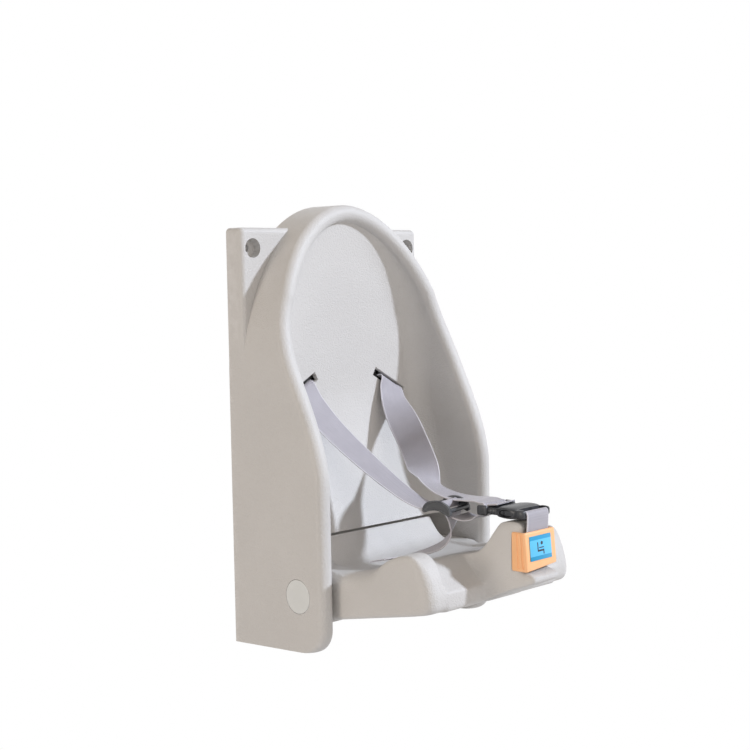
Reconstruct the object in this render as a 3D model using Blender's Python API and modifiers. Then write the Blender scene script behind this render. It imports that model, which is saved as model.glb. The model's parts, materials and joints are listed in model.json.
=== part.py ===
"""Wall mounted child seat that folds up against its back shell.

Metres, +Z up. The wall is the plane y = 0 and the seat faces -Y. The origin is on the wall plane,
in the middle of the shell's width and half way up its side walls.
"""
import math

import bmesh
import bpy
from mathutils import Matrix, Vector

# Body shell
WIDTH = 0.300
HEIGHT = 0.492
CLOSED_DEPTH = 0.152
NOSE_CLEARANCE = 0.005
WALL = 0.0206
DOME_RISE = 0.199
DOME_DROP = 0.171
DOME_POWER = 1.9
TOP_DEPTH = 0.080
APEX_DEPTH = 0.056
TAPER_START_SHARE = -0.211
TAPER_END_SHARE = 0.691
CORNER_RADIUS = 0.027
BOTTOM_RISE = 0.008
BACK_DEPTH = 0.044
BACK_END_DEPTH = 0.0895
BACK_FLAT_SHARE = 0.187
SHELF_SHARE = -0.472
RECESS_DEPTH = 0.026
RECESS_FILLET = 0.006
DISH_RUN = 0.026
HEAD_DISH_RUN = 0.038
SKIN = 0.006

# Mounting ears and holes
EAR_THICKNESS = 0.027
EAR_EDGE = 0.006
HOLE_INSET = 0.018
HOLE_DROP = 0.024
HOLE_RADIUS = 0.0045
HOLE_SINK_RADIUS = 0.0115
HOLE_SINK_DEPTH = 0.012
LOWER_HOLE_INSET = 0.055
LOWER_HOLE_RISE = 0.031

# Rear covers and their screws
COVER_THICKNESS = 0.003
COVER_LIP = 0.010
COVER_SIDE_MARGIN = 0.010
COVER_TOP_DROP = 0.040
LOWER_COVER_INSET = 0.075
LOWER_COVER_RISE = 0.012
SHELF_THICKNESS = 0.020
SCREW_RADIUS = 0.0018
SCREW_LENGTH = 0.010
SCREW_HEAD_RADIUS = 0.0036
SCREW_HEAD_HEIGHT = 0.0016

# Strap slots and anchors
SLOT_LENGTH = 0.058
SLOT_WIDTH = 0.010
SLOT_CENTRE_SHARE = 0.507
SLOT_HEIGHT = 0.053
SLOT_TILT = math.radians(29)
ANCHOR_RADIUS = 0.003
ANCHOR_OVERLAP = 0.004
STRAP_WIDTH = 0.038
STRAP_THICKNESS = 0.0015

# Hinge
AXIS_DEPTH = 0.111
AXIS_RISE = 0.070
BOLT_RADIUS = 0.005
BOLT_HEAD_RADIUS = 0.0105
BOLT_HEAD_HEIGHT = 0.0045
BUSH_WALL = 0.002
BUSH_FLANGE_RADIUS = 0.012
CAP_RADIUS = 0.0196
CAP_THICKNESS = 0.0035
NUT_RADIUS = 0.0085
NUT_HEIGHT = 0.006
WASHER_RADIUS = 0.011
WASHER_THICKNESS = 0.0015
BORE_SINK_DEPTH = 0.0095

# Seat
SIDE_GAP = 0.0034
SEAT_REACH = 0.180
SEAT_RISE = 0.062
PAD_WIDTH = 0.030
PAD_BLEND = 0.010
PAD_CORNER = 0.015
PAD_RELIEF = 0.020
SEAT_EDGE = 0.005
POST_WIDTH = 0.050
POST_FLARE = 0.016
POST_EDGE = 0.005
SEAT_SIDE_WALL = 0.014
CAVITY_REAR = 0.014
CAVITY_FRONT_SHARE = 0.800
CAVITY_RISE = 0.019
BASE_THICKNESS = 0.003
BASE_LIP = 0.009
HEEL_WIDTH = 0.020
HEEL_INSET = 0.015
HEEL_REACH = 0.057
HEEL_TOP_DROP = 0.0145
HEEL_THICKNESS = 0.010
HEEL_ROOT = 0.016
BUFFER_HEIGHT = 0.009
BUFFER_LENGTH = 0.010
BUFFER_WIDTH = 0.014
LEDGE_HEIGHT = 0.013
LEDGE_GAP = 0.0485

# Label holder on the crotch post
HOLDER_WIDTH = 0.054
HOLDER_HEIGHT = 0.045
HOLDER_DEPTH = 0.023
HOLDER_WALL = 0.0017
HOLDER_REACH_SHARE = 1.300
HOLDER_TOP_DROP = 0.094
HOLDER_EDGE = 0.0015
HOLDER_GROOVE_WIDTH = 0.0030
HOLDER_GROOVE_DEPTH = 0.0008
LABEL_WIDTH = 0.037
LABEL_HEIGHT = 0.026
LABEL_THICKNESS = 0.0006
LABEL_OFFSET = -0.0015
LABEL_RISE = 0.0045
PLATE_WIDTH = 0.047
PLATE_HEIGHT = 0.012
PLATE_THICKNESS = 0.002

# Buckle, carried above the crotch post
BUCKLE_DROP = 0.076
BUCKLE_WIDTH = 0.050
SOCKET_SETBACK = 0.0005
SOCKET_LENGTH = 0.044
SOCKET_THICKNESS = 0.015
SOCKET_WALL = 0.0025
SOCKET_EDGE = 0.003
SOCKET_BAR = 0.005
SOCKET_SLOT_LENGTH = 0.007
SOCKET_POCKET_LENGTH = 0.028
TONGUE_LENGTH = 0.028
TONGUE_THICKNESS = 0.0085
TONGUE_WINDOW_LENGTH = 0.009
TONGUE_BAR = 0.005
TONGUE_EDGE = 0.002
GUIDE_WIDTH = 0.012
GUIDE_LENGTH = 0.022
ARM_WIDTH = 0.0045
ARM_LENGTH = 0.025
ARM_PAD_LENGTH = 0.010

# Slide adjuster
SLIDE_WIDTH = 0.050
SLIDE_LENGTH = 0.056
SLIDE_THICKNESS = 0.005
SLIDE_ARCH = 0.009
SLIDE_BAR = 0.006
SLIDE_SIDE = 0.0055
SLIDE_SETBACK = 0.142
SLIDE_DROP = 0.0775
SLIDE_OFFSET = -0.020
SLIDE_PITCH = math.radians(9)

# Clearances and construction
GAP = 0.0003
FIT = 0.0005
OVERRUN = 0.010
ROUND_SIDES = 32
SMALL_SIDES = 20

# The seat's side profiles, from the rear wall over the top to the front and back underneath. Each point
# is (share of the seat's reach forward of the hinge, share of its rise above the hinge).
PAD_SHARES = (
    (-0.172, 0.226), (-0.194, 0.387), (-0.178, 0.468), (-0.139, 0.484), (-0.072, 0.484),
    (-0.006, 0.484), (0.061, 0.484), (0.172, 0.484), (0.317, 0.492), (0.483, 0.613),
    (0.650, 0.847), (0.772, 0.976), (0.839, 0.992), (0.883, 0.952), (0.917, 0.871),
    (0.944, 0.758), (0.967, 0.629), (0.983, 0.500), (0.994, 0.387), (1.000, 0.290),
    (1.000, 0.194), (0.994, 0.097), (0.972, 0.016), (0.944, -0.021), (0.906, -0.040),
    (0.839, -0.076), (0.717, -0.142), (0.494, -0.261), (0.233, -0.402), (0.050, -0.501),
    (-0.133, -0.599), (-0.180, -0.530), (-0.206, -0.300), (-0.194, 0.032),
)
RECESS_SHARES = (
    (-0.172, 0.274), (-0.122, 0.806), (-0.111, 0.903), (-0.094, 0.935), (-0.072, 0.855),
    (-0.033, 0.694), (0.011, 0.548), (0.061, 0.468), (0.172, 0.435), (0.317, 0.444),
    (0.494, 0.565), (0.661, 0.710), (0.772, 0.798), (0.800, 0.806), (0.828, 0.790),
    (0.861, 0.718), (0.900, 0.613), (0.944, 0.484), (0.983, 0.379), (1.000, 0.323),
    (1.002, 0.258), (1.000, 0.161), (0.994, 0.048), (0.978, -0.008), (0.950, -0.032),
    (0.839, -0.076), (0.717, -0.142), (0.494, -0.261), (0.233, -0.402), (0.050, -0.501),
    (-0.133, -0.599), (-0.180, -0.530), (-0.206, -0.300), (-0.194, 0.032),
)
POST_SHARES = (
    (-0.172, 0.274), (-0.122, 0.806), (-0.111, 0.903), (-0.094, 0.935), (-0.072, 0.855),
    (-0.033, 0.694), (0.011, 0.548), (0.061, 0.468), (0.172, 0.435), (0.317, 0.444),
    (0.494, 0.565), (0.661, 0.710), (0.800, 0.806), (0.944, 0.847), (0.989, 0.935),
    (1.017, 1.097), (1.044, 1.306), (1.072, 1.419), (1.133, 1.468), (1.206, 1.460),
    (1.233, 1.403), (1.239, 1.290), (1.239, 0.629), (1.289, 0.581), (1.333, 0.516),
    (1.328, 0.435), (1.272, 0.360), (1.150, 0.210), (0.967, -0.032), (0.717, -0.142),
    (-0.133, -0.599), (-0.180, -0.530), (-0.206, -0.300), (-0.194, 0.032),
)
FRONT_SHARE = 0.84
UNDERSIDE_FRONT_POINT = 26
UNDERSIDE_REAR_POINT = 30
RELIEF_SHARES = (0.15, 0.30, 0.45, 0.65)

# Straps: a point is a share of (half the width, the depth in front of the back, half the height), then
# the direction across the webbing there.
LEFT_STRAP_SHARES = (
    ((-0.507, -0.0154, 0.2138), (-0.872, 0, -0.49)),
    ((-0.507, 0.0098, 0.2130), (-0.872, 0, -0.49)),
    ((-0.473, 0.0490, 0.1382), (-0.9, -0.1, -0.42)),
    ((-0.400, 0.1242, 0.0203), (-0.95, -0.12, -0.3)),
    ((-0.293, 0.2222, -0.1138), (-0.98, -0.1, -0.15)),
    ((-0.193, 0.3333, -0.2236), (-1, -0.03, -0.05)),
    ((-0.147, 0.3987, -0.2724), (-1, 0, 0)),
    ((-0.133, 0.4379, -0.2886), (-1, 0, 0)),
    ((-0.133, 0.4771, -0.2858), (-1, 0, 0)),
    ((-0.133, 0.5196, -0.2801), (-1, 0, 0)),
    ((-0.133, 0.5441, -0.2907), (-1, 0, 0)),
    ((-0.133, 0.5539, -0.3150), (-1, 0, 0)),
)
RIGHT_STRAP_SHARES = (
    ((0.507, -0.0154, 0.2138), (0.872, 0, -0.49)),
    ((0.507, 0.0098, 0.2130), (0.872, 0, -0.49)),
    ((0.467, 0.0588, 0.1504), (0.85, -0.3, -0.42)),
    ((0.393, 0.1569, 0.0569), (0.78, -0.55, -0.3)),
    ((0.307, 0.2745, -0.0650), (0.72, -0.66, -0.2)),
    ((0.227, 0.4052, -0.1789), (0.75, -0.6, -0.25)),
    ((0.143, 0.5294, -0.2561), (0.9, -0.3, -0.3)),
    ((0.057, 0.6471, -0.2805), (0.99, -0.1, -0.1)),
    ((0.020, 0.7108, -0.2785), (1, 0, 0)),
    ((0.007, 0.7435, -0.2829), (1, 0, 0)),
    ((0.003, 0.7624, -0.2854), (1, 0, 0)),
    ((0.002, 0.7719, -0.3049), (1, 0, 0)),
)
LINK_STRAP_SHARES = (
    ((-0.133, 0.5817, -0.3602), (-1, 0, 0)),
    ((-0.131, 0.6046, -0.3642), (-1, 0, 0)),
    ((-0.110, 0.6324, -0.3707), (-1, 0, 0)),
    ((-0.073, 0.6634, -0.3699), (-1, 0, 0)),
    ((-0.039, 0.6944, -0.3610), (-1, 0, 0)),
    ((-0.016, 0.7222, -0.3447), (-1, 0, 0)),
    ((-0.005, 0.7435, -0.3341), (-1, 0, 0)),
    ((-0.002, 0.7598, -0.3309), (-1, 0, 0)),
)
TAIL_STRAP_SHARES = (
    ((-0.133, 0.5549, -0.3211), (-1, 0, 0)),
    ((-0.133, 0.5490, -0.3496), (-0.985, -0.17, 0)),
    ((-0.133, 0.5392, -0.3780), (-0.87, -0.5, 0)),
    ((-0.137, 0.5327, -0.4065), (-0.6, -0.8, 0)),
    ((-0.143, 0.5327, -0.4350), (-0.3, -0.954, 0)),
    ((-0.167, 0.5343, -0.4634), (-0.09, -0.996, 0)),
    ((-0.213, 0.5359, -0.4878), (0, -1, 0)),
    ((-0.280, 0.5359, -0.5061), (0, -0.995, 0.08)),
    ((-0.387, 0.5327, -0.5163), (0, -0.98, 0.18)),
    ((-0.533, 0.5229, -0.5081), (0, -0.98, 0.2)),
    ((-0.667, 0.5163, -0.4959), (-0.1, -0.97, 0.25)),
    ((-0.760, 0.5033, -0.5041), (-0.15, -0.96, 0.25)),
)
CROTCH_STRAP_SHARES = (
    ((0.000, 0.9523, -0.5520), (-1, 0, 0)),
    ((0.000, 0.9523, -0.3943), (-1, 0, 0)),
    ((0.000, 0.9624, -0.3638), (-1, 0, 0)),
    ((0.000, 0.9804, -0.3435), (-1, 0, 0)),
    ((0.000, 0.9863, -0.3211), (-1, 0, 0)),
    ((0.000, 0.9863, -0.2886), (-1, 0, 0)),
    ((0.000, 0.9804, -0.2744), (-1, 0, 0)),
    ((0.000, 0.9693, -0.2699), (-1, 0, 0)),
    ((0.000, 0.9605, -0.2846), (-1, 0, 0)),
    ((0.000, 0.9611, -0.3130), (-1, 0, 0)),
)
STRAP_STEPS = 2

# Derived places
HALF_WIDTH = WIDTH / 2
HALF_HEIGHT = HEIGHT / 2
DOME_CENTRE = HALF_HEIGHT - DOME_DROP
RIM_RADIUS = WALL / 2
TAPER_START = TAPER_START_SHARE * HALF_HEIGHT
TAPER_END = TAPER_END_SHARE * HALF_HEIGHT
BACK_FLAT = BACK_FLAT_SHARE * HALF_HEIGHT
SHELF = SHELF_SHARE * HALF_HEIGHT
AXIS_Z = AXIS_RISE - HALF_HEIGHT
AXIS = Vector((0, -AXIS_DEPTH, AXIS_Z))
SEAT_HALF = HALF_WIDTH - WALL - SIDE_GAP
POST_HALF = POST_WIDTH / 2
SLOT_CENTRE = SLOT_CENTRE_SHARE * HALF_WIDTH
HEEL_CENTRE = SEAT_HALF - HEEL_INSET
HOLDER_FRONT_DEPTH = AXIS_DEPTH + HOLDER_REACH_SHARE * SEAT_REACH
SOCKET_FRONT_DEPTH = HOLDER_FRONT_DEPTH - SOCKET_SETBACK
SLIDE_DEPTH = HOLDER_FRONT_DEPTH - SLIDE_SETBACK
OPEN_DEPTH = HOLDER_FRONT_DEPTH + NOSE_CLEARANCE
CAVITY_FRONT = CAVITY_FRONT_SHARE * SEAT_REACH
under_front, under_rear = PAD_SHARES[UNDERSIDE_FRONT_POINT], PAD_SHARES[UNDERSIDE_REAR_POINT]
under_slope = (
    (under_front[1] - under_rear[1]) * SEAT_RISE / ((under_front[0] - under_rear[0]) * SEAT_REACH)
)
UNDERSIDE_TILT = math.atan(under_slope)
UNDERSIDE_DROP = under_front[0] * SEAT_REACH * under_slope - under_front[1] * SEAT_RISE
X_AXIS = Vector((1, 0, 0))
Y_AXIS = Vector((0, 1, 0))
Z_AXIS = Vector((0, 0, 1))

for old in list(bpy.data.objects):
    bpy.data.objects.remove(old, do_unlink=True)

seat_collection = bpy.data.collections.new("Wall_Child_Seat")
cutter_collection = bpy.data.collections.new("Cutters")
bpy.context.scene.collection.children.link(seat_collection)
bpy.context.scene.collection.children.link(cutter_collection)
cutter_collection.hide_render = True


# Materials
def material(name, colour, roughness, metallic=0):
    made = bpy.data.materials.new(name)
    made.use_nodes = True
    shader = made.node_tree.nodes["Principled BSDF"]
    shader.inputs["Base Color"].default_value = (*colour, 1)
    shader.inputs["Roughness"].default_value = roughness
    shader.inputs["Metallic"].default_value = metallic
    return made


SHELL_GREY = material("shell_grey", (0.62, 0.60, 0.58), 0.55)
CAP_GREY = material("cap_grey", (0.70, 0.70, 0.68), 0.45)
COVER_GREY = material("cover_grey", (0.50, 0.49, 0.47), 0.60)
WEBBING = material("webbing", (0.50, 0.48, 0.51), 0.85)
BLACK = material("buckle_black", (0.025, 0.026, 0.030), 0.40)
ORANGE = material("holder_orange", (0.95, 0.42, 0.17), 0.45)
LABEL = material("label_blue", (0.12, 0.55, 0.85), 0.35)
STEEL = material("steel", (0.60, 0.61, 0.62), 0.32, 1)
NYLON = material("nylon", (0.80, 0.79, 0.75), 0.50)
RUBBER = material("rubber", (0.03, 0.03, 0.03), 0.80)


# Helpers
def pivot(name, place, parent=None):
    empty = bpy.data.objects.new(name, None)
    seat_collection.objects.link(empty)
    empty.location = place
    if parent:
        hang(empty, parent)
    bpy.context.view_layer.update()
    return empty


def hang(obj, parent):
    """Parents an object and leaves it where it is."""
    obj.parent = parent
    obj.matrix_parent_inverse = parent.matrix_world.inverted()


def add_mesh(name, shape, place, paint=None, parent=None, turn=None):
    """Makes an object of a bmesh; without a material it is a cutter."""
    mesh = bpy.data.meshes.new(name)
    bmesh.ops.recalc_face_normals(shape, faces=shape.faces)
    shape.to_mesh(mesh)
    shape.free()
    obj = bpy.data.objects.new(name, mesh)
    obj.location = place
    if turn:
        obj.rotation_euler = turn.to_euler()
    if paint:
        mesh.materials.append(paint)
        mesh.shade_smooth()
        mesh.set_sharp_from_angle(angle=math.radians(35))
        seat_collection.objects.link(obj)
    else:
        obj.hide_render = True
        obj.display_type = "WIRE"
        cutter_collection.objects.link(obj)
    if parent:
        hang(obj, parent)
    return obj


def box(name, size, place, paint=None, parent=None, turn=None, edge=0, steps=2):
    shape = bmesh.new()
    bmesh.ops.create_cube(shape, size=1)
    bmesh.ops.scale(shape, vec=size, verts=shape.verts)
    obj = add_mesh(name, shape, place, paint, parent, turn)
    if edge:
        bevel = obj.modifiers.new("rounded edges", "BEVEL")
        bevel.width = edge
        bevel.segments = steps
    return obj


def rod(name, radius, length, place, direction, paint=None, parent=None, sides=ROUND_SIDES, tip=None):
    shape = bmesh.new()
    bmesh.ops.create_cone(
        shape, cap_ends=True, segments=sides, radius1=radius,
        radius2=radius if tip is None else tip, depth=length,
    )
    turn = Z_AXIS.rotation_difference(Vector(direction)).to_matrix()
    return add_mesh(name, shape, place, paint, parent, turn)


def combine(obj, other, operation):
    change = obj.modifiers.new(other.name, "BOOLEAN")
    change.operation = operation
    change.solver = "EXACT"
    change.object = other
    return obj


def cut(obj, *cutters):
    for cutter in cutters:
        combine(obj, cutter, "DIFFERENCE")


def join(obj, *others):
    for other in others:
        combine(obj, other, "UNION")


def turned(name, profile, place, direction, paint, parent=None, sides=SMALL_SIDES):
    """A profile of (radius, height) points, running down its outer side, turned about its own Z."""
    shape = bmesh.new()
    corners = [shape.verts.new((radius, 0, height)) for radius, height in profile]
    for first, second in zip(corners, corners[1:]):
        shape.edges.new((first, second))
    if profile[0][0] > 0:
        shape.edges.new((corners[-1], corners[0]))
    turn = Z_AXIS.rotation_difference(Vector(direction)).to_matrix()
    obj = add_mesh(name, shape, place, paint, parent, turn)
    spin = obj.modifiers.new("turned", "SCREW")
    spin.steps = sides
    spin.render_steps = sides
    spin.use_merge_vertices = True
    spin.merge_threshold = GAP / 10
    return obj


def screw(name, place, direction, parent=None):
    """A pan head screw; the place is the middle of its head's face, and the direction points out of it."""
    edge = SCREW_HEAD_HEIGHT / 3
    profile = (
        (0, 0), (SCREW_HEAD_RADIUS - edge, 0), (SCREW_HEAD_RADIUS, -edge),
        (SCREW_HEAD_RADIUS, GAP - SCREW_HEAD_HEIGHT), (SCREW_RADIUS, GAP - SCREW_HEAD_HEIGHT),
        (SCREW_RADIUS, SCREW_RADIUS - SCREW_LENGTH), (0, -SCREW_LENGTH),
    )
    return turned(name, profile, place, direction, STEEL, parent)


def ring_profile(inner, outer, height):
    return ((inner, 0), (outer, 0), (outer, -height), (inner, -height))


def smooth_route(table):
    """Points and directions read from a smooth curve through a strap's own points."""
    reach = OPEN_DEPTH - BACK_DEPTH
    spots = [
        Vector((a * HALF_WIDTH, -BACK_DEPTH - b * reach, c * HALF_HEIGHT)) for (a, b, c), _ in table
    ]
    ways = [Vector(way).normalized() for _, way in table]
    places, across = [], []
    for i in range(len(spots) - 1):
        before, after = spots[max(i - 1, 0)], spots[min(i + 2, len(spots) - 1)]
        for step in range(STRAP_STEPS):
            t = step / STRAP_STEPS
            start, end = spots[i], spots[i + 1]
            bend = (before * (-t + 2 * t ** 2 - t ** 3) + start * (2 - 5 * t ** 2 + 3 * t ** 3)
                    + end * (t + 4 * t ** 2 - 3 * t ** 3) + after * (t ** 3 - t ** 2)) / 2
            places.append(bend)
            across.append(ways[i].lerp(ways[i + 1], t).normalized())
    return places + [spots[-1]], across + [ways[-1]]


def webbing(name, table, parent=None):
    """A flat strap swept along its route."""
    places, across = smooth_route(table)
    shape = bmesh.new()
    rings = []
    for i, (place, side) in enumerate(zip(places, across)):
        along = (places[min(i + 1, len(places) - 1)] - places[max(i - 1, 0)]).normalized()
        side = (side - along * side.dot(along)).normalized() * STRAP_WIDTH / 2
        out = along.cross(side).normalized() * STRAP_THICKNESS / 2
        corners = (place - side - out, place + side - out, place + side + out, place - side + out)
        rings.append([shape.verts.new(corner) for corner in corners])
    for first, second in zip(rings, rings[1:]):
        shape.faces.new((first[1], first[2], second[2], second[1]))
        shape.faces.new((first[3], first[0], second[0], second[3]))
        # Both broad faces are split along the same diagonal, so they stay parallel where the strap twists
        for a, b, c, d in (
            (first[0], first[1], second[1], second[0]),
            (first[3], second[3], second[2], first[2]),
        ):
            shape.faces.new((a, b, c))
            shape.faces.new((a, c, d))
    shape.faces.new(rings[0])
    shape.faces.new(rings[-1])
    return add_mesh(name, shape, (0, 0, 0), WEBBING, parent)


def smoothstep(value):
    value = min(1, max(0, value))
    return value * value * (3 - 2 * value)


def rounding(radius, past):
    """How far a rounded corner falls back, at a distance past its start."""
    return radius - math.sqrt(max(0, radius ** 2 - past ** 2))


# Body shell: sections across the rounded side walls, carried up one side, round the dome and down again
def rim_crest(height):
    """Distance from the wall plane to the rim's front, at a height."""
    rise = (TAPER_END - height) / (TAPER_END - TAPER_START)
    crest = TOP_DEPTH + (CLOSED_DEPTH - TOP_DEPTH) * smoothstep(rise)
    if height > TAPER_END:
        past = (height - TAPER_END) / (DOME_CENTRE + DOME_RISE - TAPER_END)
        crest -= (TOP_DEPTH - APEX_DEPTH) * past
    lowest = BOTTOM_RISE - HALF_HEIGHT
    drop = CORNER_RADIUS - (height - lowest)
    if drop > 0:
        drop = min(drop, CORNER_RADIUS)
        crest -= rounding(CORNER_RADIUS, drop)
    return crest


def back_depth(height):
    """Distance from the wall plane to the front of the back, which leans forward below the shoulders."""
    lean = max(0, (BACK_FLAT - height) / (BACK_FLAT - SHELF))
    return BACK_DEPTH + (BACK_END_DEPTH - BACK_DEPTH) * lean ** 1.5


def body_section(height, in_recess):
    """Points (distance in from the outer side, distance from the wall plane)."""
    crest = rim_crest(height)
    back = RECESS_DEPTH if in_recess else back_depth(height)
    head = smoothstep((height - BACK_FLAT) / (DOME_CENTRE + DOME_RISE / 2 - BACK_FLAT))
    run = RECESS_FILLET if in_recess else DISH_RUN + (HEAD_DISH_RUN - DISH_RUN) * head
    spring = crest - RIM_RADIUS
    rise = min(run, (spring - back) * 0.9)
    points = [(0, 0), (0, spring / 2)]
    for step in range(9):
        angle = math.pi * step / 8
        points.append((RIM_RADIUS * (1 - math.cos(angle)), spring + RIM_RADIUS * math.sin(angle)))
    for step in range(7):
        angle = math.pi / 2 * step / 6
        inward = WALL + run * (1 - math.cos(angle))
        points.append((inward, back + rise * (1 - math.sin(angle))))
    return points


def dome_outline(angle):
    """Point on the dome's outline and the direction towards the inside; angle 0 is at the left."""
    power = 2 / DOME_POWER
    cosine, sine = math.cos(angle), math.sin(angle)
    across = math.copysign(abs(cosine) ** power, cosine)
    up = abs(sine) ** power
    point = Vector((-HALF_WIDTH * across, 0, DOME_CENTRE + DOME_RISE * up))
    slope_across = math.copysign(abs(across) ** (DOME_POWER - 1), across) / HALF_WIDTH
    slope_up = up ** (DOME_POWER - 1) / DOME_RISE
    inward = Vector((slope_across, 0, -slope_up)).normalized()
    return point, inward


def straight_heights():
    """Heights of the sections of a straight side, with True where they cross the recess."""
    lowest = BOTTOM_RISE - HALF_HEIGHT
    heights = []
    for step in range(7):
        angle = math.pi / 2 * step / 6
        heights.append((lowest + CORNER_RADIUS * (1 - math.cos(angle)), True))
    heights[0] = (lowest, True)
    heights.append(((lowest + CORNER_RADIUS + SHELF) / 2, True))
    heights.append((SHELF - GAP, True))
    heights.append((SHELF, False))
    for step in range(1, 8):
        heights.append((SHELF + (BACK_FLAT - SHELF) * step / 7, False))
    for step in range(1, 5):
        heights.append((BACK_FLAT + (DOME_CENTRE - BACK_FLAT) * step / 4, False))
    return heights


def body_stations():
    """Sections in order, each as (points in space, True where the recess is behind)."""
    stations = []
    heights = straight_heights()
    for side in (-1, 1):
        run = []
        for height, in_recess in heights:
            low = smoothstep((SHELF - height) / (SHELF + HALF_HEIGHT - BOTTOM_RISE))
            points = []
            for inward, depth in body_section(height, in_recess):
                dip = BOTTOM_RISE * low * (1 - depth / CLOSED_DEPTH)
                points.append(Vector((side * (HALF_WIDTH - inward), -depth, height - dip)))
            run.append((points, in_recess))
        stations.append(run)
    dome = []
    count = 28
    for step in range(1, count):
        place, inward = dome_outline(math.pi * step / count)
        section = body_section(place.z, False)
        dome.append(([place + inward * d - Y_AXIS * depth for d, depth in section], False))
    return stations[0], dome, stations[1][::-1]


def body_mesh():
    left, dome, right = body_stations()
    shape = bmesh.new()
    rings = [[shape.verts.new(p) for p in points] for points, _ in left + dome + right]
    for first, second in zip(rings, rings[1:]):
        for i in range(len(first) - 1):
            shape.faces.new((first[i], first[i + 1], second[i + 1], second[i]))
    flat = 0
    for i, (points, in_recess) in enumerate(left):
        if not in_recess and points[0].z >= BACK_FLAT - GAP:
            flat = i
            break
    for i in range(flat):
        j = len(rings) - 1 - i
        shape.faces.new((rings[i][-1], rings[i + 1][-1], rings[j - 1][-1], rings[j][-1]))
    shape.faces.new([ring[-1] for ring in rings[flat:len(rings) - flat]])
    shape.faces.new([ring[0] for ring in rings])
    shape.faces.new(rings[0] + rings[-1][::-1])
    return shape


body_shell = add_mesh("body_shell", body_mesh(), (0, 0, 0), SHELL_GREY)

ear_height = HALF_HEIGHT - DOME_CENTRE
ears = box(
    "ears", (WIDTH - 2 * GAP, EAR_THICKNESS + EAR_EDGE, ear_height),
    (0, (EAR_EDGE - EAR_THICKNESS) / 2, HALF_HEIGHT - ear_height / 2), edge=EAR_EDGE, steps=3,
)
ear_trim = box(
    "ear_trim", (WIDTH + 2 * OVERRUN, OVERRUN, HEIGHT), (0, OVERRUN / 2, HALF_HEIGHT),
)
cut(ears, ear_trim)
join(body_shell, ears)

# Ledges that stop the open seat, one at each side of the recess
for side, tag in ((-1, "left"), (1, "right")):
    ledge_depth = AXIS_DEPTH - LEDGE_GAP
    ledge = box(
        "ledge_" + tag,
        (HEEL_WIDTH, ledge_depth - RECESS_DEPTH + SKIN / 2, LEDGE_HEIGHT),
        (
            side * HEEL_CENTRE, -(ledge_depth + RECESS_DEPTH - SKIN / 2) / 2,
            AXIS_Z - HEEL_TOP_DROP + BUFFER_HEIGHT + 2 * GAP + LEDGE_HEIGHT / 2,
        ),
    )
    join(body_shell, ledge)

# Hollow of the back, in two pockets with a shelf between them, and the steps that the covers lie in
pocket_half = HALF_WIDTH - WALL - COVER_SIDE_MARGIN
pocket_top = HALF_HEIGHT - COVER_TOP_DROP
pocket_bottom = SHELF + SHELF_THICKNESS / 2
lower_pocket_top = SHELF - SHELF_THICKNESS / 2
lower_pocket_bottom = LOWER_COVER_RISE - HALF_HEIGHT
pocket_depth = BACK_DEPTH - SKIN
lower_pocket_depth = RECESS_DEPTH - SKIN
lower_half = HALF_WIDTH - LOWER_COVER_INSET


def rear_cut(name, half, bottom, top, depth, inset):
    """A box cut in from the wall side, with an inset all round."""
    return box(
        name, (2 * (half - inset), depth + OVERRUN, top - bottom - 2 * inset),
        (0, (OVERRUN - depth) / 2, (top + bottom) / 2),
    )


step_depth = COVER_THICKNESS + GAP
cut(
    body_shell,
    rear_cut("pocket", pocket_half, pocket_bottom, pocket_top, pocket_depth, COVER_LIP),
    rear_cut("pocket_step", pocket_half, pocket_bottom, pocket_top, step_depth, 0),
    rear_cut("low_pocket", lower_half, lower_pocket_bottom, lower_pocket_top, lower_pocket_depth, COVER_LIP),
    rear_cut("low_pocket_step", lower_half, lower_pocket_bottom, lower_pocket_top, step_depth, 0),
)

# Strap slots through the skin
for side, tag in ((-1, "left"), (1, "right")):
    slot = box(
        "slot_" + tag, (SLOT_LENGTH, SKIN + 2 * OVERRUN, SLOT_WIDTH),
        (side * SLOT_CENTRE, -BACK_DEPTH + SKIN / 2, SLOT_HEIGHT),
        turn=Matrix.Rotation(side * SLOT_TILT, 3, "Y"),
    )
    cut(body_shell, slot)

# Mounting holes, sunk from the front
hole_places = []
for side in (-1, 1):
    hole_places.append((side * (HALF_WIDTH - HOLE_INSET), EAR_THICKNESS, HALF_HEIGHT - HOLE_DROP))
    hole_places.append(
        (side * (HALF_WIDTH - LOWER_HOLE_INSET), RECESS_DEPTH, LOWER_HOLE_RISE - HALF_HEIGHT)
    )
for number, (across, front, height) in enumerate(hole_places):
    sink = HOLE_SINK_DEPTH + OVERRUN
    cut(
        body_shell,
        rod(f"hole_{number}", HOLE_RADIUS, front + 2 * OVERRUN, (across, -front / 2, height), Y_AXIS,
            sides=SMALL_SIDES),
        rod(f"sink_{number}", HOLE_SINK_RADIUS, sink,
            (across, -front + HOLE_SINK_DEPTH - sink / 2, height), Y_AXIS),
    )

# Bores for the hinge in the side walls
bush_radius = BOLT_RADIUS + FIT + BUSH_WALL
for side, tag in ((-1, "left"), (1, "right")):
    centre = Vector((side * (HALF_WIDTH - RIM_RADIUS), AXIS.y, AXIS.z))
    outer = side * HALF_WIDTH
    cap_sink = CAP_THICKNESS + OVERRUN
    head_sink = BORE_SINK_DEPTH + OVERRUN
    cut(
        body_shell,
        rod("bore_" + tag, bush_radius + GAP, WALL + 2 * OVERRUN, centre, X_AXIS),
        rod("head_sink_" + tag, BOLT_HEAD_RADIUS + FIT, head_sink,
            (outer - side * (BORE_SINK_DEPTH - head_sink / 2), AXIS.y, AXIS.z), X_AXIS),
        rod("cap_sink_" + tag, CAP_RADIUS + GAP, cap_sink,
            (outer - side * (CAP_THICKNESS - cap_sink / 2), AXIS.y, AXIS.z), X_AXIS),
    )

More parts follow.
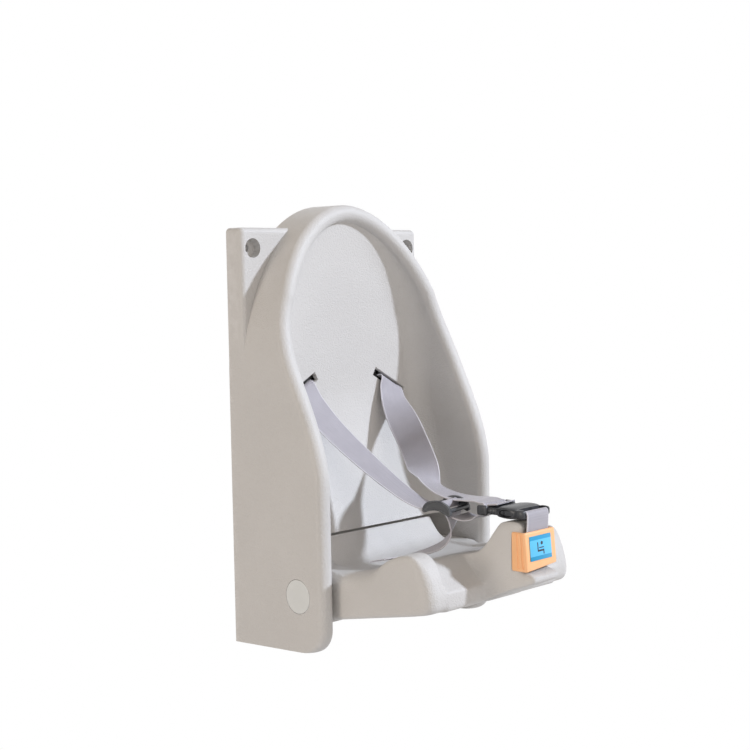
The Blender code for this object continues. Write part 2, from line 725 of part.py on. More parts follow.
# Rear covers with their screws
for name, half, bottom, top in (
    ("back_cover", pocket_half, pocket_bottom, pocket_top),
    ("lower_back_cover", lower_half, lower_pocket_bottom, lower_pocket_top),
):
    cover = box(
        name, (2 * (half - FIT), COVER_THICKNESS, top - bottom - 2 * FIT),
        (0, -COVER_THICKNESS / 2, (top + bottom) / 2), COVER_GREY,
    )
    corner = 0
    for side in (-1, 1):
        for edge_height, inwards in ((bottom, 1), (top, -1)):
            corner += 1
            spot = Vector((side * (half - COVER_LIP / 2), 0, edge_height + inwards * COVER_LIP / 2))
            label = f"{name}_{corner}"
            cut(
                cover,
                rod("head_seat_" + label, SCREW_HEAD_RADIUS + GAP, SCREW_HEAD_HEIGHT + OVERRUN,
                    spot + Y_AXIS * (OVERRUN - SCREW_HEAD_HEIGHT) / 2, Y_AXIS, sides=SMALL_SIDES),
                rod("clearance_" + label, SCREW_RADIUS + GAP, OVERRUN, spot, Y_AXIS, sides=SMALL_SIDES),
            )
            cut(
                body_shell,
                rod("pilot_" + label, SCREW_RADIUS + GAP, 2 * (SCREW_LENGTH + GAP), spot, Y_AXIS,
                    sides=SMALL_SIDES),
            )
            screw(label.replace("cover_", "cover_screw_"), spot, Y_AXIS)

# Hinge hardware: bolt, flanged bush, nut, washer and cap on each side
seat_pivot = pivot("seat_fold_axis", AXIS)
for side, tag in ((-1, "left"), (1, "right")):
    outwards = X_AXIS * side

    def spot(distance):
        """A point on the hinge axis, at a distance from the middle of the seat."""
        return AXIS + outwards * distance

    cap = rod(
        "pivot_cap_" + tag, CAP_RADIUS, CAP_THICKNESS,
        spot(HALF_WIDTH - CAP_THICKNESS / 2 + GAP), outwards, CAP_GREY,
    )
    cap_edge = cap.modifiers.new("rounded edges", "BEVEL")
    cap_edge.width = CAP_THICKNESS / 5
    cap_edge.segments = 2
    sleeve_outer = HALF_WIDTH - BORE_SINK_DEPTH
    flange_outer = SEAT_HALF + SIDE_GAP - GAP
    flange_inner = SEAT_HALF + GAP
    sleeve_bore = BOLT_RADIUS + GAP
    turned(
        "pivot_bush_" + tag,
        (
            (sleeve_bore, 0), (bush_radius, 0), (bush_radius, flange_outer - sleeve_outer),
            (BUSH_FLANGE_RADIUS, flange_outer - sleeve_outer),
            (BUSH_FLANGE_RADIUS, flange_inner - sleeve_outer), (sleeve_bore, flange_inner - sleeve_outer),
        ),
        spot(sleeve_outer), outwards, NYLON, sides=ROUND_SIDES,
    )
    washer_face = SEAT_HALF - SEAT_SIDE_WALL - GAP
    nut_face = washer_face - WASHER_THICKNESS - GAP
    bolt_end = nut_face - NUT_HEIGHT - WASHER_THICKNESS
    head_top = sleeve_outer + GAP + BOLT_HEAD_HEIGHT
    turned(
        "pivot_bolt_" + tag,
        (
            (0, 0), (BOLT_HEAD_RADIUS, 0), (BOLT_HEAD_RADIUS, -BOLT_HEAD_HEIGHT),
            (BOLT_RADIUS, -BOLT_HEAD_HEIGHT), (BOLT_RADIUS, bolt_end - head_top), (0, bolt_end - head_top),
        ),
        spot(head_top), outwards, STEEL, seat_pivot, sides=ROUND_SIDES,
    )
    turned(
        "pivot_washer_" + tag, ring_profile(BOLT_RADIUS + GAP, WASHER_RADIUS, WASHER_THICKNESS),
        spot(washer_face), outwards, STEEL, seat_pivot, sides=ROUND_SIDES,
    )
    nut = rod(
        "pivot_nut_" + tag, NUT_RADIUS, NUT_HEIGHT, spot(nut_face - NUT_HEIGHT / 2), outwards, STEEL,
        seat_pivot, sides=6,
    )
    cut(nut, rod("nut_bore_" + tag, BOLT_RADIUS + GAP, NUT_HEIGHT + OVERRUN,
                 spot(nut_face - NUT_HEIGHT / 2), outwards))

    heel_top = AXIS.z - HEEL_TOP_DROP
    box(
        "stop_buffer_" + tag, (BUFFER_WIDTH, BUFFER_LENGTH, BUFFER_HEIGHT),
        (side * HEEL_CENTRE, AXIS.y + LEDGE_GAP + BUFFER_LENGTH / 2 + FIT,
         heel_top + GAP + BUFFER_HEIGHT / 2), RUBBER,
    )


# Seat: side profiles carried across its width, blending from the pads to the leg recesses to the post
def pad_weight(across):
    return smoothstep((across - (SEAT_HALF - PAD_WIDTH - PAD_BLEND)) / PAD_BLEND)


def post_weight(across):
    if across <= POST_HALF - POST_EDGE:
        return 1
    if across <= POST_HALF:
        past = (across - POST_HALF + POST_EDGE) / POST_EDGE
        return 1 - 0.14 * past ** 2
    past = min(1, (across - POST_HALF) / POST_FLARE)
    return 0.86 * (1 - past) ** 3


def seat_places():
    """Distances from the middle of the seat, growing."""
    places = [0, POST_HALF / 2, POST_HALF - POST_EDGE]
    places += [POST_HALF - POST_EDGE * share for share in (0.5, 0.2, 0)]
    places += [POST_HALF + POST_FLARE * share for share in (0.08, 0.2, 0.35, 0.55, 0.8, 1)]
    inner = SEAT_HALF - PAD_WIDTH
    places += [POST_HALF + POST_FLARE + (inner - PAD_BLEND - POST_HALF - POST_FLARE) / 2]
    places += [inner - PAD_BLEND * share for share in (1, 0.75, 0.5, 0.25, 0)]
    places += [SEAT_HALF - PAD_RELIEF, SEAT_HALF - PAD_CORNER, SEAT_HALF - PAD_RELIEF / 2]
    for angle in (90, 60, 30, 0):
        places.append(SEAT_HALF - SEAT_EDGE + SEAT_EDGE * math.cos(math.radians(angle)))
    return places


def relief_weight(forward):
    """How fully the pad's outer edge is rounded there, so that the folded seat clears the shell's corner."""
    start, full, still, end = RELIEF_SHARES
    return smoothstep((forward - start) / (full - start)) * (1 - smoothstep((forward - still) / (end - still)))


def seat_section(across):
    """Points of one side profile, from the hinge axis: (forward, up)."""
    pad, post = pad_weight(across), post_weight(across)
    points = []
    for on_pad, on_recess, on_post in zip(PAD_SHARES, RECESS_SHARES, POST_SHARES):
        forward, up = (
            recess + pad * (a - recess) + post * (b - recess)
            for a, recess, b in zip(on_pad, on_recess, on_post)
        )
        points.append(Vector((forward * SEAT_REACH, up * SEAT_RISE)))
    past = across - (SEAT_HALF - PAD_CORNER)
    if past > 0:
        pull = rounding(PAD_CORNER, past)
        for point in points:
            point.x -= pull * smoothstep((point.x / SEAT_REACH - FRONT_SHARE) / (1 - FRONT_SHARE))
    past = across - (SEAT_HALF - PAD_RELIEF)
    if past > 0:
        drop = rounding(PAD_RELIEF, past)
        for point in points:
            if point.y > 0:
                point.y -= drop * relief_weight(point.x / SEAT_REACH)
    past = across - (SEAT_HALF - SEAT_EDGE)
    if past > 0:
        inset = rounding(SEAT_EDGE, past)
        moved = []
        for i, point in enumerate(points):
            before = (point - points[i - 1]).normalized()
            after = (points[(i + 1) % len(points)] - point).normalized()
            along = (before + after).normalized()
            moved.append(point + Vector((along.y, -along.x)) * inset)
        points = moved
    return points


def seat_mesh():
    shape = bmesh.new()
    rings = []
    places = seat_places()
    for across in [-place for place in places[:0:-1]] + places:
        section = seat_section(abs(across))
        rings.append([shape.verts.new((across, -p.x, p.y)) for p in section])
    for first, second in zip(rings, rings[1:]):
        for i in range(len(first)):
            j = (i + 1) % len(first)
            shape.faces.new((first[i], first[j], second[j], second[i]))
    shape.faces.new(rings[0])
    shape.faces.new(rings[-1])
    return shape


seat_pan = add_mesh("seat_pan", seat_mesh(), AXIS, SHELL_GREY, seat_pivot)

# Heels behind the pads, which meet the rubber buffers when the seat is open
for side, tag in ((-1, "left"), (1, "right")):
    heel = box(
        "heel_" + tag, (HEEL_WIDTH - 2 * GAP, HEEL_REACH - HEEL_ROOT, HEEL_THICKNESS),
        (side * HEEL_CENTRE, AXIS.y + (HEEL_REACH + HEEL_ROOT) / 2,
         AXIS.z - HEEL_TOP_DROP - HEEL_THICKNESS / 2),
    )
    join(seat_pan, heel)

# Cavity open below, and the step that the base cover lies in
cavity_half = SEAT_HALF - SEAT_SIDE_WALL
cavity = box(
    "cavity", (2 * cavity_half, CAVITY_REAR + CAVITY_FRONT, SEAT_RISE + CAVITY_RISE),
    (0, AXIS.y - (CAVITY_FRONT - CAVITY_REAR) / 2, AXIS.z + (CAVITY_RISE - SEAT_RISE) / 2),
)
tilt = Matrix.Rotation(-UNDERSIDE_TILT, 3, "X")
down = tilt @ -Z_AXIS
base_middle = (CAVITY_FRONT - CAVITY_REAR) / 2
base_face = AXIS + Vector((0, -base_middle, base_middle * math.tan(UNDERSIDE_TILT) - UNDERSIDE_DROP))
base_length = (CAVITY_FRONT + CAVITY_REAR) / math.cos(UNDERSIDE_TILT) + 2 * BASE_LIP
base_width = 2 * (cavity_half + BASE_LIP)
step_height = BASE_THICKNESS + GAP + OVERRUN
base_step = box(
    "base_step", (base_width, base_length, step_height),
    base_face + down * (step_height / 2 - BASE_THICKNESS - GAP), turn=tilt,
)
cut(seat_pan, cavity, base_step)
seat_base = box(
    "seat_base", (base_width - 2 * FIT, base_length - 2 * FIT, BASE_THICKNESS),
    base_face - down * BASE_THICKNESS / 2, COVER_GREY, seat_pivot, turn=tilt,
)
for side, tag in ((-1, "left"), (1, "right")):
    cut(
        seat_pan,
        rod("pin_bore_" + tag, BOLT_RADIUS + GAP, SEAT_SIDE_WALL + 2 * OVERRUN,
            AXIS + X_AXIS * side * (SEAT_HALF - SEAT_SIDE_WALL / 2), X_AXIS),
    )
    for along, end in ((-1, "front"), (1, "rear")):
        place = base_face + tilt @ Vector((
            side * (base_width - BASE_LIP) / 2, along * (base_length - BASE_LIP) / 2, 0,
        ))
        label = f"{end}_{tag}"
        head_depth = SCREW_HEAD_HEIGHT
        cut(
            seat_base,
            rod("base_head_" + label, SCREW_HEAD_RADIUS + GAP, head_depth + OVERRUN,
                place + down * (OVERRUN - head_depth) / 2, down, sides=SMALL_SIDES),
            rod("base_clear_" + label, SCREW_RADIUS + GAP, OVERRUN, place, down, sides=SMALL_SIDES),
        )
        cut(
            seat_pan,
            rod("base_pilot_" + label, SCREW_RADIUS + GAP, 2 * (SCREW_LENGTH + GAP), place, down,
                sides=SMALL_SIDES),
        )
        screw("base_screw_" + label, place, down, seat_pivot)

# Label holder clipped round the post, in steps cut for its two sides
post_front = AXIS_DEPTH + POST_SHARES[21][0] * SEAT_REACH
holder_middle = Vector((0, HOLDER_DEPTH / 2 - HOLDER_FRONT_DEPTH, -HOLDER_TOP_DROP - HOLDER_HEIGHT / 2))
label_holder = box(
    "label_holder", (HOLDER_WIDTH, HOLDER_DEPTH, HOLDER_HEIGHT), holder_middle, ORANGE, seat_pivot,
    edge=HOLDER_EDGE,
)
inside = HOLDER_WIDTH - 2 * HOLDER_WALL
cut(
    label_holder,
    box("holder_hollow", (inside, HOLDER_DEPTH, HOLDER_HEIGHT + OVERRUN),
        holder_middle + Y_AXIS * HOLDER_WALL),
)
for side, tag in ((-1, "left"), (1, "right")):
    wall_middle = side * (HOLDER_WIDTH / 2 - HOLDER_WALL / 2 + OVERRUN / 2)
    cut(
        seat_pan,
        box("holder_step_" + tag,
            (HOLDER_WALL + OVERRUN + 2 * GAP, HOLDER_DEPTH + 2 * GAP, HOLDER_HEIGHT + 2 * GAP),
            (wall_middle, holder_middle.y, holder_middle.z)),
    )
    for number in (1, 2):
        cut(
            label_holder,
            box(f"groove_{tag}_{number}",
                (2 * HOLDER_GROOVE_DEPTH, HOLDER_GROOVE_WIDTH, HOLDER_HEIGHT - 2 * HOLDER_GROOVE_WIDTH),
                (side * HOLDER_WIDTH / 2, holder_middle.y + (number - 1.5) * 2 * HOLDER_GROOVE_WIDTH,
                 holder_middle.z)),
        )
box(
    "label_plate", (LABEL_WIDTH, LABEL_THICKNESS, LABEL_HEIGHT),
    (LABEL_OFFSET, -HOLDER_FRONT_DEPTH - GAP - LABEL_THICKNESS / 2, holder_middle.z + LABEL_RISE),
    LABEL, seat_pivot,
)

# Crotch strap, clamped to the front of the post by a plate and two screws behind the label holder
strap_front = post_front + STRAP_THICKNESS * 1.5
plate_height = holder_middle.z - HOLDER_HEIGHT / 2 + PLATE_HEIGHT
plate_middle = Vector((0, -strap_front - GAP - PLATE_THICKNESS / 2, plate_height))
strap_plate = box(
    "crotch_anchor_plate", (PLATE_WIDTH, PLATE_THICKNESS, PLATE_HEIGHT), plate_middle, STEEL, seat_pivot,
)
for side, tag in ((-1, "left"), (1, "right")):
    screw_across = side * (STRAP_WIDTH + PLATE_WIDTH) / 4
    place = Vector((screw_across, -strap_front - GAP - PLATE_THICKNESS - SCREW_HEAD_HEIGHT, plate_height))
    cut(strap_plate, rod("plate_hole_" + tag, SCREW_RADIUS + GAP, OVERRUN, place, Y_AXIS,
                         sides=SMALL_SIDES))
    cut(seat_pan, rod("plate_pilot_" + tag, SCREW_RADIUS + GAP, 2 * (SCREW_LENGTH + GAP), place, Y_AXIS,
                      sides=SMALL_SIDES))
    screw("crotch_anchor_screw_" + tag, place, -Y_AXIS, seat_pivot)

# Side release buckle: the socket swings with the crotch strap, the tongue slides out of it
buckle_pivot = pivot(
    "buckle_swing_axis", (0, -SOCKET_FRONT_DEPTH, -BUCKLE_DROP - SOCKET_THICKNESS / 2), seat_pivot,
)
tongue_pivot = pivot("tongue_slide_axis", (0, SOCKET_LENGTH - SOCKET_FRONT_DEPTH, -BUCKLE_DROP), buckle_pivot)
webbing("crotch_strap", CROTCH_STRAP_SHARES, seat_pivot)
socket_rear = SOCKET_LENGTH - SOCKET_FRONT_DEPTH
socket_middle = Vector((0, SOCKET_LENGTH / 2 - SOCKET_FRONT_DEPTH, -BUCKLE_DROP))
buckle_socket = box(
    "buckle_socket", (BUCKLE_WIDTH, SOCKET_LENGTH, SOCKET_THICKNESS), socket_middle, BLACK, buckle_pivot,
    edge=SOCKET_EDGE,
)
slot_front = SOCKET_BAR - SOCKET_FRONT_DEPTH
pocket_width = BUCKLE_WIDTH - 2 * SOCKET_WALL
window_length = ARM_PAD_LENGTH + 2 * SOCKET_WALL
window_middle = socket_rear - ARM_LENGTH + ARM_PAD_LENGTH
cut(
    buckle_socket,
    box("socket_slot", (STRAP_WIDTH + 4 * FIT, SOCKET_SLOT_LENGTH, SOCKET_THICKNESS + OVERRUN),
        (0, slot_front + SOCKET_SLOT_LENGTH / 2, -BUCKLE_DROP)),
    box("socket_pocket",
        (pocket_width, SOCKET_POCKET_LENGTH + OVERRUN, SOCKET_THICKNESS - 2 * SOCKET_WALL),
        (0, socket_rear + (OVERRUN - SOCKET_POCKET_LENGTH) / 2, -BUCKLE_DROP)),
    box("socket_window", (BUCKLE_WIDTH + OVERRUN, window_length, SOCKET_THICKNESS - 2 * SOCKET_WALL - 2 * GAP),
        (0, window_middle, -BUCKLE_DROP)),
)
tongue_front = socket_rear + GAP
tongue_middle = Vector((0, tongue_front + TONGUE_LENGTH / 2, -BUCKLE_DROP))
tongue = box(
    "buckle_tongue", (BUCKLE_WIDTH, TONGUE_LENGTH, TONGUE_THICKNESS), tongue_middle, BLACK, tongue_pivot,
    edge=TONGUE_EDGE,
)
window_rear = tongue_front + TONGUE_LENGTH - TONGUE_BAR
cut(
    tongue,
    box("tongue_window", (STRAP_WIDTH + 4 * FIT, TONGUE_WINDOW_LENGTH, TONGUE_THICKNESS + OVERRUN),
        (0, window_rear - TONGUE_WINDOW_LENGTH / 2, -BUCKLE_DROP)),
)
guide_height = SOCKET_THICKNESS - 2 * SOCKET_WALL - 4 * GAP
join(
    tongue,
    box("tongue_guide", (GUIDE_WIDTH, GUIDE_LENGTH + TONGUE_EDGE, guide_height),
        (0, tongue_front + (TONGUE_EDGE - GUIDE_LENGTH) / 2, -BUCKLE_DROP)),
)
for side, tag in ((-1, "left"), (1, "right")):
    arm_across = side * (pocket_width / 2 - FIT - ARM_WIDTH / 2)
    arm_pivot = pivot("arm_press_axis_" + tag, (arm_across, tongue_front, -BUCKLE_DROP), tongue_pivot)
    box(
        "tongue_arm_" + tag, (ARM_WIDTH, ARM_LENGTH, guide_height),
        (arm_across, tongue_front - GAP - ARM_LENGTH / 2, -BUCKLE_DROP), BLACK, arm_pivot,
        edge=ARM_WIDTH / 4,
    )


# Slide adjuster: an arched frame with three bars
def arch_mesh():
    shape = bmesh.new()
    rings = []
    count = 12
    for step in range(count + 1):
        along = 2 * step / count - 1
        rise = SLIDE_ARCH * (0.5 - along ** 2)
        centre = Vector((0, along * SLIDE_LENGTH / 2, rise))
        slope = Vector((0, SLIDE_LENGTH / 2, -2 * along * SLIDE_ARCH)).normalized()
        out = X_AXIS.cross(slope) * SLIDE_THICKNESS / 2
        side = X_AXIS * SLIDE_WIDTH / 2
        rings.append([shape.verts.new(centre + s * side + o * out) for s, o in ((-1, -1), (1, -1), (1, 1), (-1, 1))])
    for first, second in zip(rings, rings[1:]):
        for i in range(4):
            j = (i + 1) % 4
            shape.faces.new((first[i], first[j], second[j], second[i]))
    shape.faces.new(rings[0])
    shape.faces.new(rings[-1])
    return shape


slide_middle = Vector((SLIDE_OFFSET, -SLIDE_DEPTH, -SLIDE_DROP))
slide_turn = Matrix.Rotation(SLIDE_PITCH, 3, "X")
slide_pivot = pivot("adjuster_slide_axis", slide_middle, tongue_pivot)
slide = add_mesh("slide_adjuster", arch_mesh(), slide_middle, BLACK, slide_pivot, slide_turn)
slide_window = (SLIDE_LENGTH - 3 * SLIDE_BAR) / 2
for side, tag in ((-1, "front"), (1, "rear")):
    offset = slide_turn @ Vector((0, side * (SLIDE_BAR + slide_window) / 2, 0))
    cut(
        slide,
        box("slide_window_" + tag, (SLIDE_WIDTH - 2 * SLIDE_SIDE, slide_window, SLIDE_ARCH * 4),
            slide_middle + offset, turn=slide_turn),
    )

# Straps, and the rods behind the slots on which the shoulder straps are sewn
webbing("left_shoulder_strap", LEFT_STRAP_SHARES)
webbing("right_shoulder_strap", RIGHT_STRAP_SHARES)
webbing("link_strap", LINK_STRAP_SHARES, tongue_pivot)
webbing("left_strap_tail", TAIL_STRAP_SHARES, tongue_pivot)
for side, tag in ((-1, "left"), (1, "right")):
    lean = Matrix.Rotation(side * SLOT_TILT, 3, "Y")
    rod(
        "strap_anchor_" + tag, ANCHOR_RADIUS, SLOT_LENGTH + 2 * ANCHOR_OVERLAP,
        (side * SLOT_CENTRE, -(BACK_DEPTH - SKIN - GAP - ANCHOR_RADIUS), SLOT_HEIGHT),
        lean @ X_AXIS, STEEL, sides=SMALL_SIDES,
    )
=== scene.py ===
# %% [markdown]
# # A wall mounted child seat
# A moulded plastic shell hangs on the wall, and a seat pan folds down out of it. A harness of grey
# webbing runs from two slots in the back to a black buckle in front of the child. The solids of the
# frame hold every piece in its real place, and this lesson dresses them: finer mouldings, woven
# straps, grained plastic, and light like that of the photograph.

# %% Load the frame
import json
import math

import bmesh
import bpy
from mathutils import Matrix, Vector

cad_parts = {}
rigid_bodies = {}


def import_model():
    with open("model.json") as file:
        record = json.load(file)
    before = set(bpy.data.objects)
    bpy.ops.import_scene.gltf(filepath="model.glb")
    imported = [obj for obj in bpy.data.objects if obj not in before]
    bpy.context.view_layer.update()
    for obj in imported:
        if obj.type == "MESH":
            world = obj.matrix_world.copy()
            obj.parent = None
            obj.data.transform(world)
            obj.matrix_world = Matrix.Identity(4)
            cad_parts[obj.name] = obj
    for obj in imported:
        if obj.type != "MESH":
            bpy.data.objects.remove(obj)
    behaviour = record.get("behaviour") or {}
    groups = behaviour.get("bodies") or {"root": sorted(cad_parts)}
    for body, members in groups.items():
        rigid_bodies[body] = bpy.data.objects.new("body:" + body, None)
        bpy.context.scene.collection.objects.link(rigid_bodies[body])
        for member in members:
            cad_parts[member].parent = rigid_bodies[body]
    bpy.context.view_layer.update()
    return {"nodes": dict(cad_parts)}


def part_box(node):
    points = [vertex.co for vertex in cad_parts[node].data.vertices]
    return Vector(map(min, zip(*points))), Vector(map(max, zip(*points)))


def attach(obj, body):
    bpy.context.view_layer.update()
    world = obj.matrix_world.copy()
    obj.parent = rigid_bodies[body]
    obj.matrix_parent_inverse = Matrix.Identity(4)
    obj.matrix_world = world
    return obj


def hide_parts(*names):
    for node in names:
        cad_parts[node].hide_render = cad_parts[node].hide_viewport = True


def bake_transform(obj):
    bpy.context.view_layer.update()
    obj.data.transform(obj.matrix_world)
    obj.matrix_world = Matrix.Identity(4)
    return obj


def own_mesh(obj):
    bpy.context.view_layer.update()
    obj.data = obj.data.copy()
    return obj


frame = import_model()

scene = bpy.context.scene
print("nodes:", len(frame["nodes"]))

# %% [markdown]
# ## Camera
# The picture was taken from the left, a little above the middle of the seat, with a long lens. The
# camera's three directions are written as the columns of its matrix, which is more exact than
# pointing it at a target: x is right in the picture, y is up, and z points back at the viewer.

# %% Camera
CAMERA_PLACE = Vector((-1.21694, -1.28040, 0.18520))
CAMERA_RIGHT = Vector((0.6971, -0.7168, -0.0184)).normalized()
CAMERA_UP = Vector((0.0624, 0.0352, 0.9974)).normalized()

lens = bpy.data.cameras.new("studio_camera")
lens.sensor_width = 36
lens.lens = 67.54
camera = bpy.data.objects.new("studio_camera", lens)
scene.collection.objects.link(camera)
back = CAMERA_RIGHT.cross(CAMERA_UP).normalized()
upright = back.cross(CAMERA_RIGHT).normalized()
turn = Matrix((CAMERA_RIGHT, upright, back)).transposed()
camera.matrix_world = Matrix.Translation(CAMERA_PLACE) @ turn.to_4x4()
scene.camera = camera
print("camera stands", round(CAMERA_PLACE.length, 2), "m from the seat")

# %% [markdown]
# ## Sizes
# The mouldings below are the same forms as the frame's solids, drawn with more sections. So they
# need the same sizes, in metres. The wall is the plane y = 0 and the seat faces -y.

# %% Sizes of the shell and the seat
HALF_WIDTH = 0.150
HALF_HEIGHT = 0.246
CLOSED_DEPTH = 0.152
WALL = 0.0206
RIM_RADIUS = WALL / 2
DOME_RISE = 0.199
DOME_CENTRE = HALF_HEIGHT - 0.171
DOME_POWER = 1.9
TOP_DEPTH = 0.080
APEX_DEPTH = 0.056
TAPER_START = -0.211 * HALF_HEIGHT
TAPER_END = 0.691 * HALF_HEIGHT
CORNER_RADIUS = 0.027
BOTTOM_RISE = 0.008
BACK_DEPTH = 0.044
BACK_END_DEPTH = 0.0895
BACK_FLAT = 0.187 * HALF_HEIGHT
SHELF = -0.472 * HALF_HEIGHT
RECESS_DEPTH = 0.026
SKIN = 0.006
AXIS = Vector((0, -0.111, 0.070 - HALF_HEIGHT))
SEAT_HALF = HALF_WIDTH - WALL - 0.0034
SEAT_REACH = 0.180
SEAT_RISE = 0.062
HEEL_ACROSS = 0.111
PILOT_RADIUS, PILOT_LENGTH = 0.0021, 0.0206
GAP = 0.0003
X_AXIS, Y_AXIS, Z_AXIS = Vector((1, 0, 0)), Vector((0, 1, 0)), Vector((0, 0, 1))
SIDES = (-1, 1)
print("shell", 2 * HALF_WIDTH, "x", 2 * HALF_HEIGHT, "m, seat half width", round(SEAT_HALF, 4))

# %% [markdown]
# ## Small helpers for nodes
# Materials and Geometry Nodes are both trees of nodes. One helper fills a node's inputs: it sets
# what is the same everywhere as a value, and links what comes from another node.


# %% Node helpers
def fill(tree, node, inputs):
    """Fills inputs of a node; each is a value, or a socket to link from."""
    for key, value in inputs.items():
        if isinstance(value, bpy.types.NodeSocket):
            tree.links.new(value, node.inputs[key])
        else:
            node.inputs[key].default_value = value
    return node


def put(tree, kind, inputs=None, **settings):
    """Places a node with its settings and inputs."""
    node = tree.nodes.new(kind)
    for key, value in settings.items():
        setattr(node, key, value)
    return fill(tree, node, inputs or {})


def maths(tree, operation, *values):
    """One step of arithmetic, and its result."""
    return put(tree, "ShaderNodeMath", dict(enumerate(values)), operation=operation).outputs[0]


def ramped(tree, value, low, high, to_low=0.0, to_high=1.0):
    """A value carried smoothly from one range to another."""
    span = {"Value": value, "From Min": low, "From Max": high, "To Min": to_low, "To Max": to_high}
    return put(tree, "ShaderNodeMapRange", span, interpolation_type="SMOOTHSTEP").outputs["Result"]


print("a node is placed by", put.__name__, "and its inputs are filled by", fill.__name__)


# %% Helpers for colours, noise and groups
def clouds(tree, place, scale, detail):
    """Soft noise at a place, from 0 to 1."""
    inputs = {"Vector": place, "Scale": scale, "Detail": detail}
    return put(tree, "ShaderNodeTexNoise", inputs).outputs["Fac"]


def split(tree, vector):
    """The x, y and z of a vector."""
    return put(tree, "ShaderNodeSeparateXYZ", {"Vector": vector}).outputs


def mixed(tree, share, first, second):
    """A colour between two, by a share. Inputs 6 and 7 of the node are its two colours."""
    inputs = {"Factor": share}
    for slot, value in ((6, first), (7, second)):
        inputs[slot] = value if isinstance(value, bpy.types.NodeSocket) else (*value, 1)
    return put(tree, "ShaderNodeMix", inputs, data_type="RGBA").outputs[2]


def bumped(tree, height, depth):
    """A surface direction disturbed by a height."""
    return put(tree, "ShaderNodeBump", {"Height": height, "Distance": depth}).outputs["Normal"]


def shader_group(name, inputs, outputs):
    """An empty shader group: its inputs are a place and named values."""
    tree = bpy.data.node_groups.new(name, "ShaderNodeTree")
    tree.interface.new_socket("Vector", in_out="INPUT", socket_type=VECTOR)
    for label, value in inputs.items():
        socket = tree.interface.new_socket(label, in_out="INPUT", socket_type=FLOAT)
        socket.default_value = value
    for label in outputs:
        tree.interface.new_socket(label, in_out="OUTPUT", socket_type=FLOAT)
    return tree, tree.nodes.new("NodeGroupInput").outputs, tree.nodes.new("NodeGroupOutput")


FLOAT, VECTOR = "NodeSocketFloat", "NodeSocketVector"
print("groups take", FLOAT, "and", VECTOR)

# %% [markdown]
# ## Effects that several finishes share
# The shell's plastic has a fine pebble grain from its mould, so that it doesn't show scratches. It
# is round cells over soft noise, both in metres on the object, so that the grain has its real size.
# Wear finds sharp edges from the mesh itself, and dust settles where the surface looks up.


# %% Grain, wear and dust
def build_grain():
    tree, given, end = shader_group(
        "Pebble grain", {"Cells per metre": 600.0, "Softness": 0.5}, ("Height", "Tone"))
    place, scale = given["Vector"], given["Cells per metre"]
    cells = put(tree, "ShaderNodeTexVoronoi", {"Vector": place, "Scale": scale},
                feature="SMOOTH_F1")
    pebble = ramped(tree, cells.outputs["Distance"], 0.05, 0.75, 1.0, 0.0)
    finer = clouds(tree, place, maths(tree, "MULTIPLY", scale, 1.7), 2.0)
    soft = maths(tree, "MULTIPLY", finer, given["Softness"])
    tone = ramped(tree, clouds(tree, place, 9.0, 3.0), 0.3, 0.7)
    fill(tree, end, {"Height": maths(tree, "ADD", pebble, soft), "Tone": tone})
    return tree


def build_wear():
    tree, given, end = shader_group("Edge wear", {"Reach": 0.06}, ("Mask",))
    shape = put(tree, "ShaderNodeNewGeometry")
    top = maths(tree, "ADD", given["Reach"], 0.5)
    edge = ramped(tree, shape.outputs["Pointiness"], 0.51, top)
    patches = ramped(tree, clouds(tree, given["Vector"], 90.0, 4.0), 0.35, 0.65)
    fill(tree, end, {"Mask": maths(tree, "MULTIPLY", edge, patches)})
    return tree


def build_dust():
    tree, given, end = shader_group("Settled dust", {"Amount": 0.3}, ("Mask",))
    shape = put(tree, "ShaderNodeNewGeometry")
    upward = ramped(tree, split(tree, shape.outputs["Normal"])["Z"], 0.2, 0.95)
    drift = ramped(tree, clouds(tree, given["Vector"], 34.0, 5.0), 0.38, 0.72)
    settled = maths(tree, "MULTIPLY", upward, drift)
    fill(tree, end, {"Mask": maths(tree, "MULTIPLY", settled, given["Amount"])})
    return tree


GRAIN, WEAR, DUST = build_grain(), build_wear(), build_dust()
print("shared effects:", GRAIN.name, "/", WEAR.name, "/", DUST.name)

# %% [markdown]
# Webbing is woven on a narrow loom. Its ribs run slantwise and turn back along the middle lines, so
# that light plays on it in small chevrons, and both edges end in a thicker selvage. The finish also
# paints the hollows between the ribs darker, as painted shade, and the selvages paler, as a painted
# highlight. The pattern reads the strap's own UV map, which is laid out in metres: x along the
# strap and y across it.


# %% Weave
def build_weave():
    tree, given, end = shader_group(
        "Webbing weave", {"Pitch": 0.0016, "Column": 0.0042, "Half width": 0.019},
        ("Height", "Rib", "Selvage"))
    place = split(tree, given["Vector"])
    along = maths(tree, "DIVIDE", place["X"], given["Pitch"])
    zigzag = maths(tree, "PINGPONG", maths(tree, "DIVIDE", place["Y"], given["Column"]), 1.0)
    slant = maths(tree, "ADD", along, maths(tree, "MULTIPLY", zigzag, 1.5))
    rib = ramped(tree, maths(tree, "SINE", maths(tree, "MULTIPLY", slant, 2 * math.pi)), -1.0, 1.0)
    from_edge = maths(tree, "SUBTRACT", given["Half width"], maths(tree, "ABSOLUTE", place["Y"]))
    selvage = ramped(tree, from_edge, 0.0008, 0.0022, 1.0, 0.0)
    raised = maths(tree, "ADD", maths(tree, "MULTIPLY", rib, 0.6), selvage)
    fill(tree, end, {"Height": raised, "Rib": rib, "Selvage": selvage})
    return tree


WEAVE = build_weave()
print("weave:", [socket.name for socket in WEAVE.interface.items_tree])

# %% [markdown]
# ## Finishes
# Each finish is one material: its own shader, fed by the shared effects. Values that are the same
# all over, such as sheen or coat, are set on the shader itself.


# %% Plastic finishes
def new_finish(name):
    material = bpy.data.materials.new(name)
    material.use_nodes = True
    tree = material.node_tree
    return material, tree, tree.nodes["Principled BSDF"]


